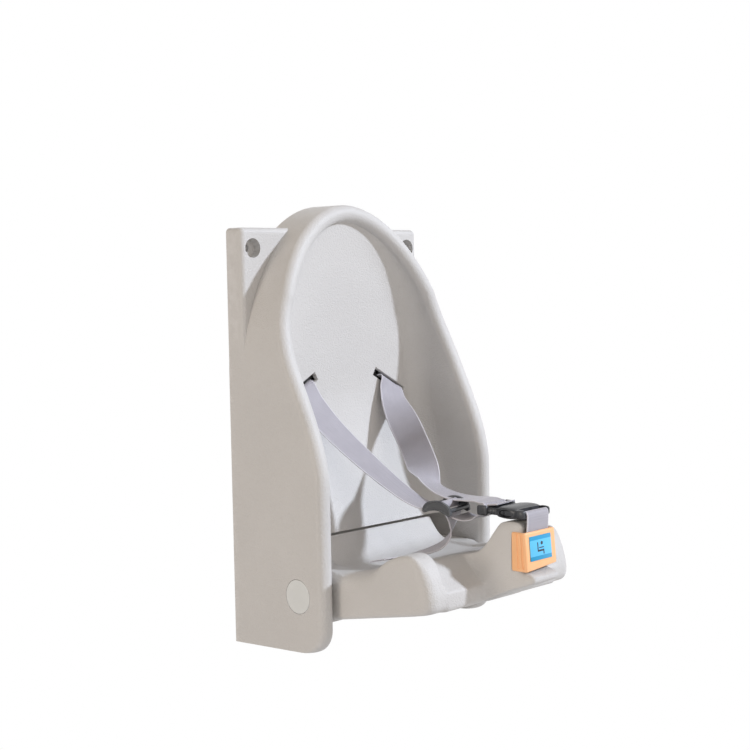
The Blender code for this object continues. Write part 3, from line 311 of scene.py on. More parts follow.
def effect(tree, group, place, **values):
    """One of the shared effects at a place, by its outputs."""
    return put(tree, "ShaderNodeGroup", {"Vector": place, **values}, node_tree=group).outputs


def moulded(name, colour, pale, rough, cells, depth, wear=0.35, dust=0.25, specular=0.5):
    """Grained moulded plastic: its colour drifts a little, and edges and tops are paler."""
    material, tree, shader = new_finish(name)
    place = put(tree, "ShaderNodeTexCoord").outputs["Object"]
    grain = effect(tree, GRAIN, place, **{"Cells per metre": cells})
    worn = maths(tree, "MULTIPLY", effect(tree, WEAR, place)["Mask"], wear)
    dusty = effect(tree, DUST, place, Amount=dust)["Mask"]
    base = mixed(tree, grain["Tone"], [channel * 0.955 for channel in colour], colour)
    fill(tree, shader, {
        "Base Color": mixed(tree, dusty, mixed(tree, worn, base, pale), pale),
        "Roughness": ramped(tree, grain["Height"], 0.2, 1.4, rough + 0.05, rough - 0.04),
        "Specular IOR Level": specular,
        "Normal": bumped(tree, grain["Height"], depth),
    })
    return material


SHELL_FINISH = moulded("Grained shell plastic", (0.600, 0.585, 0.565), (0.72, 0.71, 0.70),
                       rough=0.52, cells=620.0, depth=0.00022)
CAP_FINISH = moulded("Smooth cap plastic", (0.700, 0.715, 0.700), (0.80, 0.80, 0.79),
                     rough=0.38, cells=900.0, depth=0.00003, dust=0.1)
COVER_FINISH = moulded("Rear cover plastic", (0.450, 0.440, 0.425), (0.55, 0.54, 0.53),
                       rough=0.55, cells=500.0, depth=0.00012)
BUCKLE_FINISH = moulded("Black buckle plastic", (0.016, 0.017, 0.021), (0.10, 0.10, 0.11),
                        rough=0.30, cells=1100.0, depth=0.00003, wear=0.5, dust=0.04)
SLIDE_FINISH = moulded("Charcoal slide plastic", (0.040, 0.044, 0.050), (0.14, 0.15, 0.16),
                       rough=0.36, cells=1100.0, depth=0.00003, wear=0.5, dust=0.04)
HOLDER_FINISH = moulded("Orange holder plastic", (1.000, 0.535, 0.255), (1.0, 0.62, 0.37),
                        rough=0.40, cells=800.0, depth=0.00004, dust=0.1)
NYLON_FINISH = moulded("Natural nylon", (0.72, 0.70, 0.64), (0.82, 0.81, 0.77),
                       rough=0.45, cells=900.0, depth=0.00004)
RUBBER_FINISH = moulded("Buffer rubber", (0.022, 0.022, 0.022), (0.08, 0.08, 0.08),
                        rough=0.75, cells=700.0, depth=0.00008, specular=0.3)
THREAD_FINISH = moulded("Sewing thread", (0.60, 0.59, 0.60), (0.7, 0.7, 0.7),
                        rough=0.7, cells=3000.0, depth=0.00002)
print("plastics ready, with", GRAIN.name)


# %% Webbing and steel finishes
def woven(name, colour, deep, edge):
    """Polyester webbing with a soft sheen."""
    material, tree, shader = new_finish(name)
    place = put(tree, "ShaderNodeUVMap", uv_map="route").outputs["UV"]
    weave = effect(tree, WEAVE, place)
    drift = mixed(tree, ramped(tree, clouds(tree, place, 46.0, 3.0), 0.3, 0.7), deep, colour)
    # Painted shade: the hollows between the ribs are painted darker than their crests.
    rib_shaded_colour = mixed(tree, weave["Rib"], [channel * 0.80 for channel in deep], drift)
    fill(tree, shader, {
        # The selvages are painted paler than the rest of the strap: a painted highlight along both
        # edges.
        "Base Color": mixed(tree, weave["Selvage"], rib_shaded_colour, edge),
        "Roughness": ramped(tree, weave["Rib"], 0.0, 1.0, 0.72, 0.50),
        "Sheen Weight": 0.35,
        "Sheen Roughness": 0.40,
        "Specular IOR Level": 0.45,
        "Normal": bumped(tree, weave["Height"], 0.00025),
    })
    return material


def clouded_steel(name, colour, rough):
    """Plated steel with cloudy brightness and gloss."""
    material, tree, shader = new_finish(name)
    place = put(tree, "ShaderNodeTexCoord").outputs["Object"]
    cloud = clouds(tree, place, 240.0, 5.0)
    fill(tree, shader, {
        "Base Color": mixed(tree, cloud, [channel * 0.8 for channel in colour], colour),
        "Roughness": ramped(tree, cloud, 0.3, 0.7, rough, rough + 0.14),
        "Metallic": 1,
        "Normal": bumped(tree, cloud, 0.00002),
    })
    return material


# The edge colour is a painted highlight along the selvages.
WEBBING_FINISH = woven("Grey webbing", (0.50, 0.48, 0.52), deep=(0.44, 0.42, 0.46),
                       edge=(0.66, 0.64, 0.68))
STEEL_FINISH = clouded_steel("Plated steel", (0.62, 0.62, 0.63), rough=0.30)
ROD_FINISH = clouded_steel("Blackened steel", (0.045, 0.043, 0.042), rough=0.55)
print("webbing and steel ready")

# %% [markdown]
# ## Making and finishing a mesh
# Every piece ends as a plain mesh at the origin, with its place in its points. The modifiers that
# cut or round it are used up first, so that nothing changes when the piece moves with its body.


# %% Objects and meshes
def object_of(name, mesh, finish=None):
    obj = bpy.data.objects.new(name, mesh)
    scene.collection.objects.link(obj)
    if finish:
        mesh.materials.append(finish)
    return obj


def shaded(mesh, angle):
    """Makes a mesh smooth, but for edges sharper than the angle."""
    mesh.shade_smooth()
    mesh.set_sharp_from_angle(angle=math.radians(angle))


def mesh_object(name, shape, finish=None, angle=35):
    """An object of a bmesh, with faces that point out."""
    bmesh.ops.recalc_face_normals(shape, faces=shape.faces)
    mesh = bpy.data.meshes.new(name)
    shape.to_mesh(mesh)
    shape.free()
    shaded(mesh, angle)
    return object_of(name, mesh, finish)


def baked(obj, angle):
    """Uses up the modifiers and keeps the result as a plain mesh."""
    bpy.context.view_layer.update()
    graph = bpy.context.evaluated_depsgraph_get()
    mesh = bpy.data.meshes.new_from_object(obj.evaluated_get(graph), depsgraph=graph)
    obj.modifiers.clear()
    obj.data = mesh
    shaded(mesh, angle)
    return obj


print("helpers for objects ready")


# %% Simple shapes
def place_shape(shape, place, turn=None):
    if turn:
        bmesh.ops.transform(shape, matrix=turn.to_4x4(), verts=shape.verts)
    bmesh.ops.translate(shape, vec=place, verts=shape.verts)


def block(name, size, place, turn=None, edge=0, steps=3):
    """A box, with rounded edges if asked."""
    shape = bmesh.new()
    bmesh.ops.create_cube(shape, size=1)
    bmesh.ops.scale(shape, vec=size, verts=shape.verts)
    if edge:
        bmesh.ops.bevel(shape, geom=shape.edges[:], offset=edge, segments=steps, profile=0.5,
                        affect="EDGES")
    place_shape(shape, place, turn)
    return mesh_object(name, shape)


def round_bar(name, radius, length, place, direction, sides=48):
    shape = bmesh.new()
    bmesh.ops.create_cone(shape, cap_ends=True, segments=sides, radius1=radius, radius2=radius,
                          depth=length)
    place_shape(shape, place, Z_AXIS.rotation_difference(Vector(direction)).to_matrix())
    return mesh_object(name, shape)


def loft(shape, rings):
    """Joins closed rings of points in their order, and closes both ends."""
    for first, second in zip(rings, rings[1:]):
        for i in range(len(first)):
            j = (i + 1) % len(first)
            shape.faces.new((first[i], first[j], second[j], second[i]))
    shape.faces.new(rings[0])
    shape.faces.new(rings[-1])


print("helpers for shapes ready")


# %% Cutting and rounding
def carve(obj, joined=(), removed=(), angle=35):
    """Adds and cuts away whole groups of helper shapes, which are then deleted."""
    groups = []
    for operation, helpers in (("UNION", joined), ("DIFFERENCE", removed)):
        if not helpers:
            continue
        group = bpy.data.collections.new(obj.name + "_" + operation.lower())
        scene.collection.children.link(group)
        for helper in helpers:
            group.objects.link(helper)
            scene.collection.objects.unlink(helper)
        change = obj.modifiers.new(operation, "BOOLEAN")
        change.operation = operation
        change.operand_type = "COLLECTION"
        change.collection = group
        change.solver = "EXACT"
        groups.append(group)
    baked(obj, angle)
    for group in groups:
        for helper in list(group.objects):
            bpy.data.objects.remove(helper)
        bpy.data.collections.remove(group)
    return obj


def smoothstep(value, low, high):
    """Rises gently from 0 at the low end to 1 at the high end."""
    share = min(1, max(0, (value - low) / (high - low)))
    return share * share * (3 - 2 * share)


def rounding(radius, past):
    """How far a rounded corner falls back, at a distance past its start."""
    return radius - math.sqrt(max(0, radius ** 2 - past ** 2))


print("halfway up a smooth step:", smoothstep(0.5, 0, 1))

# %% [markdown]
# ## Shell
# The shell is one rotationally moulded piece, so every edge is soft. Its side walls end in a fully
# rounded rim that runs up one side, over the dome and down the other. The mesh follows that rule: a
# section across the wall is carried along the rim, and its depth changes with the height.

# %% Section across the side wall
LOWEST = BOTTOM_RISE - HALF_HEIGHT
RECESS_FILLET, BACK_FILLET, HEAD_FILLET = 0.006, 0.026, 0.038


def rim_crest(height):
    """Distance from the wall plane to the rim's front, at a height."""
    crest = TOP_DEPTH + (CLOSED_DEPTH - TOP_DEPTH) * smoothstep(height, TAPER_END, TAPER_START)
    if height > TAPER_END:
        past = (height - TAPER_END) / (DOME_CENTRE + DOME_RISE - TAPER_END)
        crest -= (TOP_DEPTH - APEX_DEPTH) * past
    drop = min(CORNER_RADIUS, CORNER_RADIUS - (height - LOWEST))
    return crest - (rounding(CORNER_RADIUS, drop) if drop > 0 else 0)


def back_depth(height):
    """The back leans forward below the shoulders."""
    lean = max(0, (BACK_FLAT - height) / (BACK_FLAT - SHELF))
    return BACK_DEPTH + (BACK_END_DEPTH - BACK_DEPTH) * lean ** 1.5


def shell_section(height, in_recess):
    """Points (distance in from the outer side, distance from the wall plane)."""
    spring = rim_crest(height) - RIM_RADIUS
    back_at = RECESS_DEPTH if in_recess else back_depth(height)
    head = smoothstep(height, BACK_FLAT, DOME_CENTRE + DOME_RISE / 2)
    run = RECESS_FILLET if in_recess else BACK_FILLET + (HEAD_FILLET - BACK_FILLET) * head
    rise = min(run, (spring - back_at) * 0.9)
    rim = [math.pi * step / 24 for step in range(25)]
    fillet = [math.pi / 2 * step / 16 for step in range(17)]
    return (
        [(0, spring * step / 12) for step in range(12)]
        + [(RIM_RADIUS * (1 - math.cos(a)), spring + RIM_RADIUS * math.sin(a)) for a in rim]
        + [(WALL, spring + (back_at + rise - spring) * step / 6) for step in range(1, 6)]
        + [(WALL + run * (1 - math.cos(a)), back_at + rise * (1 - math.sin(a))) for a in fillet]
    )


print("a section has", len(shell_section(0, False)), "points")


# %% Sections along the rim
def dome_outline(angle):
    """Point on the dome's outline and the direction towards the inside."""
    cosine, sine = math.cos(angle), math.sin(angle)
    across = math.copysign(abs(cosine) ** (2 / DOME_POWER), cosine)
    up = abs(sine) ** (2 / DOME_POWER)
    slope_across = math.copysign(abs(across) ** (DOME_POWER - 1), across) / HALF_WIDTH
    slope_up = up ** (DOME_POWER - 1) / DOME_RISE
    return (Vector((-HALF_WIDTH * across, 0, DOME_CENTRE + DOME_RISE * up)),
            Vector((slope_across, 0, -slope_up)).normalized())


def shell_heights():
    """Heights of the straight sides' sections, and whether each is below the shelf."""
    start = LOWEST + CORNER_RADIUS
    corner = [LOWEST + CORNER_RADIUS * (1 - math.cos(math.pi / 2 * k / 14)) for k in range(1, 15)]
    recess = [start + (SHELF - GAP - start) * k / 12 for k in range(1, 13)]
    leaning = [SHELF + (BACK_FLAT - SHELF) * k / 32 for k in range(33)]
    upright = [BACK_FLAT + (DOME_CENTRE - BACK_FLAT) * k / 16 for k in range(1, 17)]
    return ([(height, True) for height in [LOWEST] + corner + recess]
            + [(height, False) for height in leaning + upright])


def side_ring(side, height, in_recess):
    """One section of a straight side, whose lowest edge dips towards the wall."""
    dip = BOTTOM_RISE * smoothstep(height, SHELF, LOWEST)
    return [Vector((side * (HALF_WIDTH - inward), -depth,
                    height - dip * (1 - depth / CLOSED_DEPTH)))
            for inward, depth in shell_section(height, in_recess)]


def shell_rings():
    """Sections up the left side, over the dome, and down the right side."""
    left, right = ([side_ring(side, *at) for at in shell_heights()] for side in SIDES)
    dome = []
    for step in range(1, 96):
        place, inward = dome_outline(math.pi * step / 96)
        dome.append([place + inward * away - Y_AXIS * depth
                     for away, depth in shell_section(place.z, False)])
    return left + dome + right[::-1]


print("sections along the rim:", len(shell_rings()))


# %% Shell mesh
def shell_shape():
    """The sections joined, with the back closed between the two sides."""
    shape = bmesh.new()
    rings = [[shape.verts.new(point) for point in ring] for ring in shell_rings()]
    for first, second in zip(rings, rings[1:]):
        for corners in zip(first, first[1:], second[1:], second):
            shape.faces.new(corners)
    flat = next(i for i, (height, in_recess) in enumerate(shell_heights())
                if not in_recess and height >= BACK_FLAT - GAP)
    for i in range(flat):
        j = len(rings) - 1 - i
        shape.faces.new((rings[i][-1], rings[i + 1][-1], rings[j - 1][-1], rings[j][-1]))
    shape.faces.new([ring[-1] for ring in rings[flat:len(rings) - flat]])
    shape.faces.new([ring[0] for ring in rings])
    shape.faces.new(rings[0] + rings[-1][::-1])
    return shape


print("the back leans forward below", round(BACK_FLAT, 3), "m")

# %% Sizes of the ears, hollows and holes
# A cutter reaches this far past the surface that it cuts.
SPARE = 0.010
EAR_THICKNESS, EAR_EDGE, EAR_HEIGHT = 0.027, 0.006, HALF_HEIGHT - DOME_CENTRE
COVER_LIP, COVER_STEP = 0.010, 0.0033
# Half width, lowest and highest edge, and depth of each hollow behind a rear cover.
POCKETS = (
    (HALF_WIDTH - WALL - 0.010, SHELF + 0.010, HALF_HEIGHT - 0.040, BACK_DEPTH - SKIN),
    (0.075, 0.012 - HALF_HEIGHT, SHELF - 0.010, RECESS_DEPTH - SKIN),
)
SLOT_CENTRE, SLOT_HEIGHT, SLOT_TILT = 0.507 * HALF_WIDTH, 0.053, math.radians(29)
SLOT_LONG, SLOT_WIDE, MOUTH_DEPTH, MOUTH_FLARE = 0.058, 0.010, 0.0048, 0.0032
# Radius, length, how far its middle is past the side wall's outer face, and number of sides.
HINGE_BORES = ((0.0078, WALL + 0.020, -RIM_RADIUS, 48), (0.011, 0.0195, 0.00025, 48),
               (0.0199, 0.0135, 0.00325, 96))
MOUNTING_HOLES = ([(side * 0.132, -EAR_THICKNESS, HALF_HEIGHT - 0.024) for side in SIDES]
                  + [(side * 0.095, -RECESS_DEPTH, 0.031 - HALF_HEIGHT) for side in SIDES])
HOLE_RADIUS, SINK_RADIUS, SINK_DEPTH = 0.0045, 0.0115, 0.010
LEDGE_SIZE, LEDGE_MIDDLE, LEDGE_RISE = (0.020, 0.0395, 0.013), -0.04275, 0.0016
print("hollows:", len(POCKETS), "and mounting holes:", len(MOUNTING_HOLES))


# %% Ears, ledges and cuts
def shell_additions():
    """Two ears in one block, cut off at the wall, and the ledges that stop the open seat."""
    ears = block("ears", (2 * HALF_WIDTH - 2 * GAP, EAR_THICKNESS + EAR_EDGE, EAR_HEIGHT),
                 (0, (EAR_EDGE - EAR_THICKNESS) / 2, HALF_HEIGHT - EAR_HEIGHT / 2),
                 edge=EAR_EDGE, steps=6)
    carve(ears, removed=[block("behind_wall", (0.4, 0.020, 0.5), (0, 0.010, HALF_HEIGHT))])
    return [ears] + [block("ledge", LEDGE_SIZE,
                           (side * HEEL_ACROSS, LEDGE_MIDDLE, AXIS.z + LEDGE_RISE), edge=0.001)
                     for side in SIDES]


def flared_slot(side, lean):
    """The mouth of a slot, opening a little towards the front."""
    shape = bmesh.new()
    bmesh.ops.create_cube(shape, size=1)
    for vert in shape.verts:
        out = (MOUTH_FLARE if vert.co.y < 0 else 0) - MOUTH_FLARE / 4
        vert.co = (math.copysign(SLOT_LONG / 2 + out, vert.co.x), vert.co.y * MOUTH_DEPTH,
                   math.copysign(SLOT_WIDE / 2 + out, vert.co.z))
    place_shape(shape, (side * SLOT_CENTRE, -BACK_DEPTH, SLOT_HEIGHT), lean)
    return mesh_object("slot_mouth", shape)


def shell_cuts():
    cuts = []
    for half, low, high, depth in POCKETS:
        for inset, deep in ((COVER_LIP, depth), (0, COVER_STEP)):
            cuts.append(block("pocket", (2 * (half - inset), deep + SPARE, high - low - 2 * inset),
                              (0, (SPARE - deep) / 2, (low + high) / 2)))
        for side in SIDES:
            for spot in (low + COVER_LIP / 2, high - COVER_LIP / 2):
                cuts.append(round_bar("pilot", PILOT_RADIUS, PILOT_LENGTH,
                                      (side * (half - COVER_LIP / 2), 0, spot), Y_AXIS, 20))
    for side in SIDES:
        lean = Matrix.Rotation(side * SLOT_TILT, 3, "Y")
        cuts.append(block("slot", (SLOT_LONG, SKIN + 2 * SPARE, SLOT_WIDE),
                          (side * SLOT_CENTRE, SKIN / 2 - BACK_DEPTH, SLOT_HEIGHT), lean,
                          edge=0.0016))
        cuts.append(flared_slot(side, lean))
        for radius, length, past, count in HINGE_BORES:
            middle = (side * (HALF_WIDTH + past), AXIS.y, AXIS.z)
            cuts.append(round_bar("hinge_bore", radius, length, middle, X_AXIS, count))
    for across, face, height in MOUNTING_HOLES:
        cuts.append(round_bar("hole", HOLE_RADIUS, 0.050, (across, face / 2, height), Y_AXIS, 40))
        cuts.append(round_bar("sink", SINK_RADIUS, 2 * SINK_DEPTH + 0.002,
                              (across, face + 0.001, height), Y_AXIS, 64))
    return cuts


shell_moulding = mesh_object("shell_moulding", shell_shape(), SHELL_FINISH)
carve(shell_moulding, shell_additions(), shell_cuts())
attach(shell_moulding, "shell")
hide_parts("body_shell")
print("shell:", len(shell_moulding.data.polygons), "faces")

# %% [markdown]
# ## Seat pan
# The seat is a second hollow moulding. Three side profiles describe it: one through a side pad, one
# through the leg recess and one through the crotch post. Each place across the seat mixes the
# three, and a smooth curve through the profile's points replaces the straight pieces of the solid.

# %% Seat profiles
# Each point is (share of the reach forward of the hinge, share of the rise above it). The recess
# and the post have the same sitting surface, and all three profiles have the same rear edge.
SITTING_SHARES = (
    (-0.172, 0.274), (-0.122, 0.806), (-0.111, 0.903), (-0.094, 0.935), (-0.072, 0.855),
    (-0.033, 0.694), (0.011, 0.548), (0.061, 0.468), (0.172, 0.435), (0.317, 0.444),
    (0.494, 0.565), (0.661, 0.710),
)
REAR_SHARES = ((-0.133, -0.599), (-0.180, -0.530), (-0.206, -0.300), (-0.194, 0.032))
UNDER_SHARES = (
    (0.839, -0.076), (0.717, -0.142), (0.494, -0.261), (0.233, -0.402), (0.050, -0.501),
) + REAR_SHARES
PAD_SHARES = (
    (-0.172, 0.226), (-0.194, 0.387), (-0.178, 0.468), (-0.139, 0.484), (-0.072, 0.484),
    (-0.006, 0.484), (0.061, 0.484), (0.172, 0.484), (0.317, 0.492), (0.483, 0.613),
    (0.650, 0.847), (0.772, 0.976), (0.839, 0.992), (0.883, 0.952), (0.917, 0.871),
    (0.944, 0.758), (0.967, 0.629), (0.983, 0.500), (0.994, 0.387), (1.000, 0.290),
    (1.000, 0.194), (0.994, 0.097), (0.972, 0.016), (0.944, -0.021), (0.906, -0.040),
) + UNDER_SHARES
RECESS_SHARES = SITTING_SHARES + (
    (0.772, 0.798), (0.800, 0.806), (0.828, 0.790), (0.861, 0.718), (0.900, 0.613),
    (0.944, 0.484), (0.983, 0.379), (1.000, 0.323), (1.002, 0.258), (1.000, 0.161),
    (0.994, 0.048), (0.978, -0.008), (0.950, -0.032),
) + UNDER_SHARES
POST_SHARES = SITTING_SHARES + (
    (0.800, 0.806), (0.944, 0.847), (0.989, 0.935), (1.017, 1.097), (1.044, 1.306),
    (1.072, 1.419), (1.133, 1.468), (1.206, 1.460), (1.233, 1.403), (1.239, 1.290),
    (1.239, 0.629), (1.289, 0.581), (1.333, 0.516), (1.328, 0.435), (1.272, 0.360),
    (1.150, 0.210), (0.967, -0.032), (0.717, -0.142),
) + REAR_SHARES
PAD_WIDTH, PAD_BLEND, PAD_CORNER, PAD_RELIEF, SEAT_EDGE = 0.025, 0.008, 0.015, 0.020, 0.005
POST_HALF, POST_FLARE, POST_EDGE, POST_FULL = 0.025, 0.016, 0.005, 0.86


def pad_weight(across):
    return smoothstep(across, SEAT_HALF - PAD_WIDTH - PAD_BLEND, SEAT_HALF - PAD_WIDTH)


def post_weight(across):
    if across <= POST_HALF - POST_EDGE:
        return 1
    if across <= POST_HALF:
        return 1 - (1 - POST_FULL) * ((across - POST_HALF + POST_EDGE) / POST_EDGE) ** 2
    return POST_FULL * (1 - min(1, (across - POST_HALF) / POST_FLARE)) ** 3


def relief_weight(forward):
    """The outer edge is rounded most over the middle of the sitting surface."""
    return smoothstep(forward, 0.15, 0.30) * (1 - smoothstep(forward, 0.45, 0.65))


def seat_places():
    """Distances from the middle of the seat, closer together where it turns."""
    stops = ((0, 5), (POST_HALF - POST_EDGE, 8), (POST_HALF, 16), (POST_HALF + POST_FLARE, 10),
             (SEAT_HALF - PAD_WIDTH - PAD_BLEND, 10), (SEAT_HALF - PAD_WIDTH, 4),
             (SEAT_HALF - PAD_RELIEF, 10), (SEAT_HALF - SEAT_EDGE, 0))
    places = [low + (high - low) * step / count
              for (low, count), (high, _) in zip(stops, stops[1:]) for step in range(count)]
    return places + [SEAT_HALF - SEAT_EDGE * (1 - math.sin(math.pi / 2 * step / 8))
                     for step in range(9)]


print("seat sections:", 2 * len(seat_places()) - 1)


# %% Seat sections
def closed_curve(points, steps=3):
    """A smooth closed curve, which doesn't swing out where its points are unevenly spaced."""
    curve = []
    for i in range(len(points)):
        four = [points[(i + k) % len(points)] for k in (-1, 0, 1, 2)]
        knots = [0]
        for start, end in zip(four, four[1:]):
            knots.append(knots[-1] + max(1e-6, (end - start).length ** 0.5))
        for step in range(steps):
            at = knots[1] + (knots[2] - knots[1]) * step / steps
            level = four
            for spans in (((0, 1), (1, 2), (2, 3)), ((0, 2), (1, 3)), ((1, 2),)):
                shares = [(at - knots[low]) / (knots[high] - knots[low]) for low, high in spans]
                level = [level[k] * (1 - share) + level[k + 1] * share
                         for k, share in enumerate(shares)]
            curve.append(level[0])
    return curve


def seat_section(across):
    """The profile at a distance from the middle: points (forward of the hinge, above it)."""
    pad, post = pad_weight(across), post_weight(across)
    points = []
    for profiles in zip(PAD_SHARES, RECESS_SHARES, POST_SHARES):
        forward, up = (recess + pad * (on_pad - recess) + post * (on_post - recess)
                       for on_pad, recess, on_post in zip(*profiles))
        points.append(Vector((forward * SEAT_REACH, up * SEAT_RISE)))
    points = closed_curve(points)
    pull, drop, inset = (
        rounding(radius, past) if past > 0 else 0 for radius, past in
        ((radius, across - (SEAT_HALF - radius)) for radius in (PAD_CORNER, PAD_RELIEF, SEAT_EDGE)))
    for point in points:
        point.x -= pull * smoothstep(point.x / SEAT_REACH, 0.84, 1)
        if point.y > 0:
            point.y -= drop * relief_weight(point.x / SEAT_REACH)
    if inset:
        ways = [(points[(i + 1) % len(points)] - points[i - 1]).normalized()
                for i in range(len(points))]
        points = [point + Vector((way.y, -way.x)) * inset for point, way in zip(points, ways)]
    return points


def seat_shape():
    places = seat_places()
    shape = bmesh.new()
    loft(shape, [[shape.verts.new((across, AXIS.y - point.x, AXIS.z + point.y))
                  for point in seat_section(abs(across))]
                 for across in [-place for place in places[:0:-1]] + places])
    return shape


print("points of a seat section:", len(seat_section(0)))

# %% Sizes of the seat's hollow, heels and holder
SEAT_WALL, BASE_LIP = 0.014, 0.009
BASE_THICKNESS, BASE_DEPTH = 0.0133, 0.0033
UNDER_SLOPE = (0.599 - 0.142) * SEAT_RISE / ((0.717 + 0.133) * SEAT_REACH)
UNDER_DROP = 0.717 * SEAT_REACH * UNDER_SLOPE + 0.142 * SEAT_RISE
CAVITY_FRONT, CAVITY_REAR, CAVITY_TOP = 0.800 * SEAT_REACH, 0.014, 0.019
HOLDER_FRONT = 0.3416
HOLDER_SIZE = Vector((0.054, 0.0190, 0.0435))
HOLDER_MIDDLE = Vector((0, HOLDER_SIZE.y / 2 - HOLDER_FRONT, -0.0945 - HOLDER_SIZE.z / 2))
HOLDER_WALL = 0.0017
ANCHOR_PILOT = (0.02125, -0.3382, -0.127)
HEEL_SIZE, HEEL_BEHIND, HEEL_DROP = (0.0194, 0.041, 0.010), 0.0365, 0.0195
print("underside slopes by", round(math.degrees(math.atan(UNDER_SLOPE)), 1), "degrees")


# %% Seat mesh
def seat_cuts():
    """The cavity, the step of its cover, the bolts' bores and the step of the label holder."""
    half = SEAT_HALF - SEAT_WALL
    middle = (CAVITY_FRONT - CAVITY_REAR) / 2
    cuts = [block("cavity", (2 * half, CAVITY_REAR + CAVITY_FRONT, SEAT_RISE + CAVITY_TOP),
                  (0, AXIS.y - middle, AXIS.z + (CAVITY_TOP - SEAT_RISE) / 2))]
    tilt = Matrix.Rotation(-math.atan(UNDER_SLOPE), 3, "X")
    down = tilt @ -Z_AXIS
    face = AXIS + Vector((0, -middle, middle * UNDER_SLOPE - UNDER_DROP))
    length = (CAVITY_FRONT + CAVITY_REAR) / math.cos(math.atan(UNDER_SLOPE)) + 2 * BASE_LIP
    width = 2 * (half + BASE_LIP)
    cuts.append(block("base_step", (width, length, BASE_THICKNESS),
                      face + down * (BASE_THICKNESS / 2 - BASE_DEPTH), tilt))
    for side in SIDES:
        cuts.append(round_bar("pin_bore", 0.0053, SEAT_WALL + 2 * SPARE,
                              AXIS + X_AXIS * side * (SEAT_HALF - SEAT_WALL / 2), X_AXIS))
        for along in SIDES:
            spot = face + tilt @ Vector(
                (side * (width - BASE_LIP) / 2, along * (length - BASE_LIP) / 2, 0))
            cuts.append(round_bar("pilot", PILOT_RADIUS, PILOT_LENGTH, spot, down, 20))
        wall = side * (HOLDER_SIZE.x / 2 + (SPARE - HOLDER_WALL) / 2)
        cuts.append(block("holder_step", (HOLDER_WALL + SPARE + 2 * GAP, HOLDER_SIZE.y + 2 * GAP,
                                          HOLDER_SIZE.z + 2 * GAP),
                          (wall, HOLDER_MIDDLE.y, HOLDER_MIDDLE.z)))
        across, *rest = ANCHOR_PILOT
        cuts.append(round_bar("pilot", PILOT_RADIUS, PILOT_LENGTH, (side * across, *rest),
                              Y_AXIS, 20))
    return cuts


heels = [block("heel", HEEL_SIZE, (side * HEEL_ACROSS, AXIS.y + HEEL_BEHIND, AXIS.z - HEEL_DROP))
         for side in SIDES]
seat_moulding = mesh_object("seat_moulding", seat_shape(), SHELL_FINISH)
carve(seat_moulding, heels, seat_cuts())
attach(seat_moulding, "seat")
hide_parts("seat_pan")
print("seat:", len(seat_moulding.data.polygons), "faces")

# %% [markdown]
# ## Webbing
# Each strap is a flat ribbon along its own route. A point of a route holds the place of the
# ribbon's middle and the direction across it there, because webbing twists as it hangs. The
# ribbon's section is thicker at the selvages and hollow between them, as a woven band is.


# %% Routes of the straps
def straight(*places):
    """A route in the middle plane, by (y, z), whose webbing lies straight across it."""
    return [(0, y, z, -1, 0, 0) for y, z in places]


# Each point is x, y and z of its place, in metres, and x, y and z of the direction across.
LEFT_ROUTE = (
    (-0.0760, -0.0393, 0.0526, -0.872, 0, -0.49), (-0.0760, -0.0470, 0.0524, -0.872, 0, -0.49),
    (-0.0710, -0.0590, 0.0340, -0.9, -0.1, -0.42), (-0.0600, -0.0820, 0.0050, -0.95, -0.12, -0.3),
    (-0.0440, -0.1140, -0.0280, -0.98, -0.1, -0.15), (-0.0330, -0.1500, -0.0560, -1, -0.08, 0),
    (-0.0270, -0.1800, -0.0735, -0.98, -0.18, 0), (-0.0228, -0.2040, -0.0800, -0.978, -0.208, 0),
    (-0.0200, -0.2170, -0.0755, -0.978, -0.208, 0), (-0.0187, -0.2240, -0.0706, -0.978, -0.208, 0),
    (-0.0180, -0.2273, -0.0740, -0.978, -0.208, 0), (-0.0180, -0.2274, -0.0785, -0.978, -0.208, 0),
)
RIGHT_ROUTE = (
    (0.0760, -0.0393, 0.0526, 0.872, 0, -0.49), (0.0760, -0.0470, 0.0524, 0.872, 0, -0.49),
    (0.0705, -0.0560, 0.0360, 0.85, -0.35, -0.4), (0.0600, -0.0780, 0.0140, 0.60, -0.72, -0.1),
    (0.0465, -0.1110, -0.0160, 0.35, -0.85, 0.25), (0.0310, -0.1395, -0.0400, 0.45, -0.82, 0.05),
    (0.0180, -0.1630, -0.0580, 0.93, -0.1, -0.3), (0.0145, -0.1890, -0.0680, 0.99, 0.05, -0.1),
    (0.0095, -0.2200, -0.0715, 1, 0, 0), (0.0050, -0.2450, -0.0700, 1, 0, 0),
    (0.0030, -0.2615, -0.0690, 1, 0, 0), (0.0011, -0.2715, -0.0696, 1, 0, 0),
    (0.0004, -0.2773, -0.0702, 1, 0, 0), (0.0003, -0.2802, -0.0750, 1, 0, 0),
)
LINK_ROUTE = (
    (-0.0152, -0.2395, -0.0866, -0.978, -0.208, 0), (-0.0142, -0.2440, -0.0878, -0.985, -0.17, 0),
    (-0.0115, -0.2500, -0.0890, -0.995, -0.1, 0), (-0.0075, -0.2570, -0.0886, -1, -0.05, 0),
    (-0.0040, -0.2635, -0.0862, -1, 0, 0), (-0.0018, -0.2690, -0.0838, -1, 0, 0),
    (-0.0007, -0.2730, -0.0822, -1, 0, 0), (-0.0003, -0.2765, -0.0814, -1, 0, 0),
)
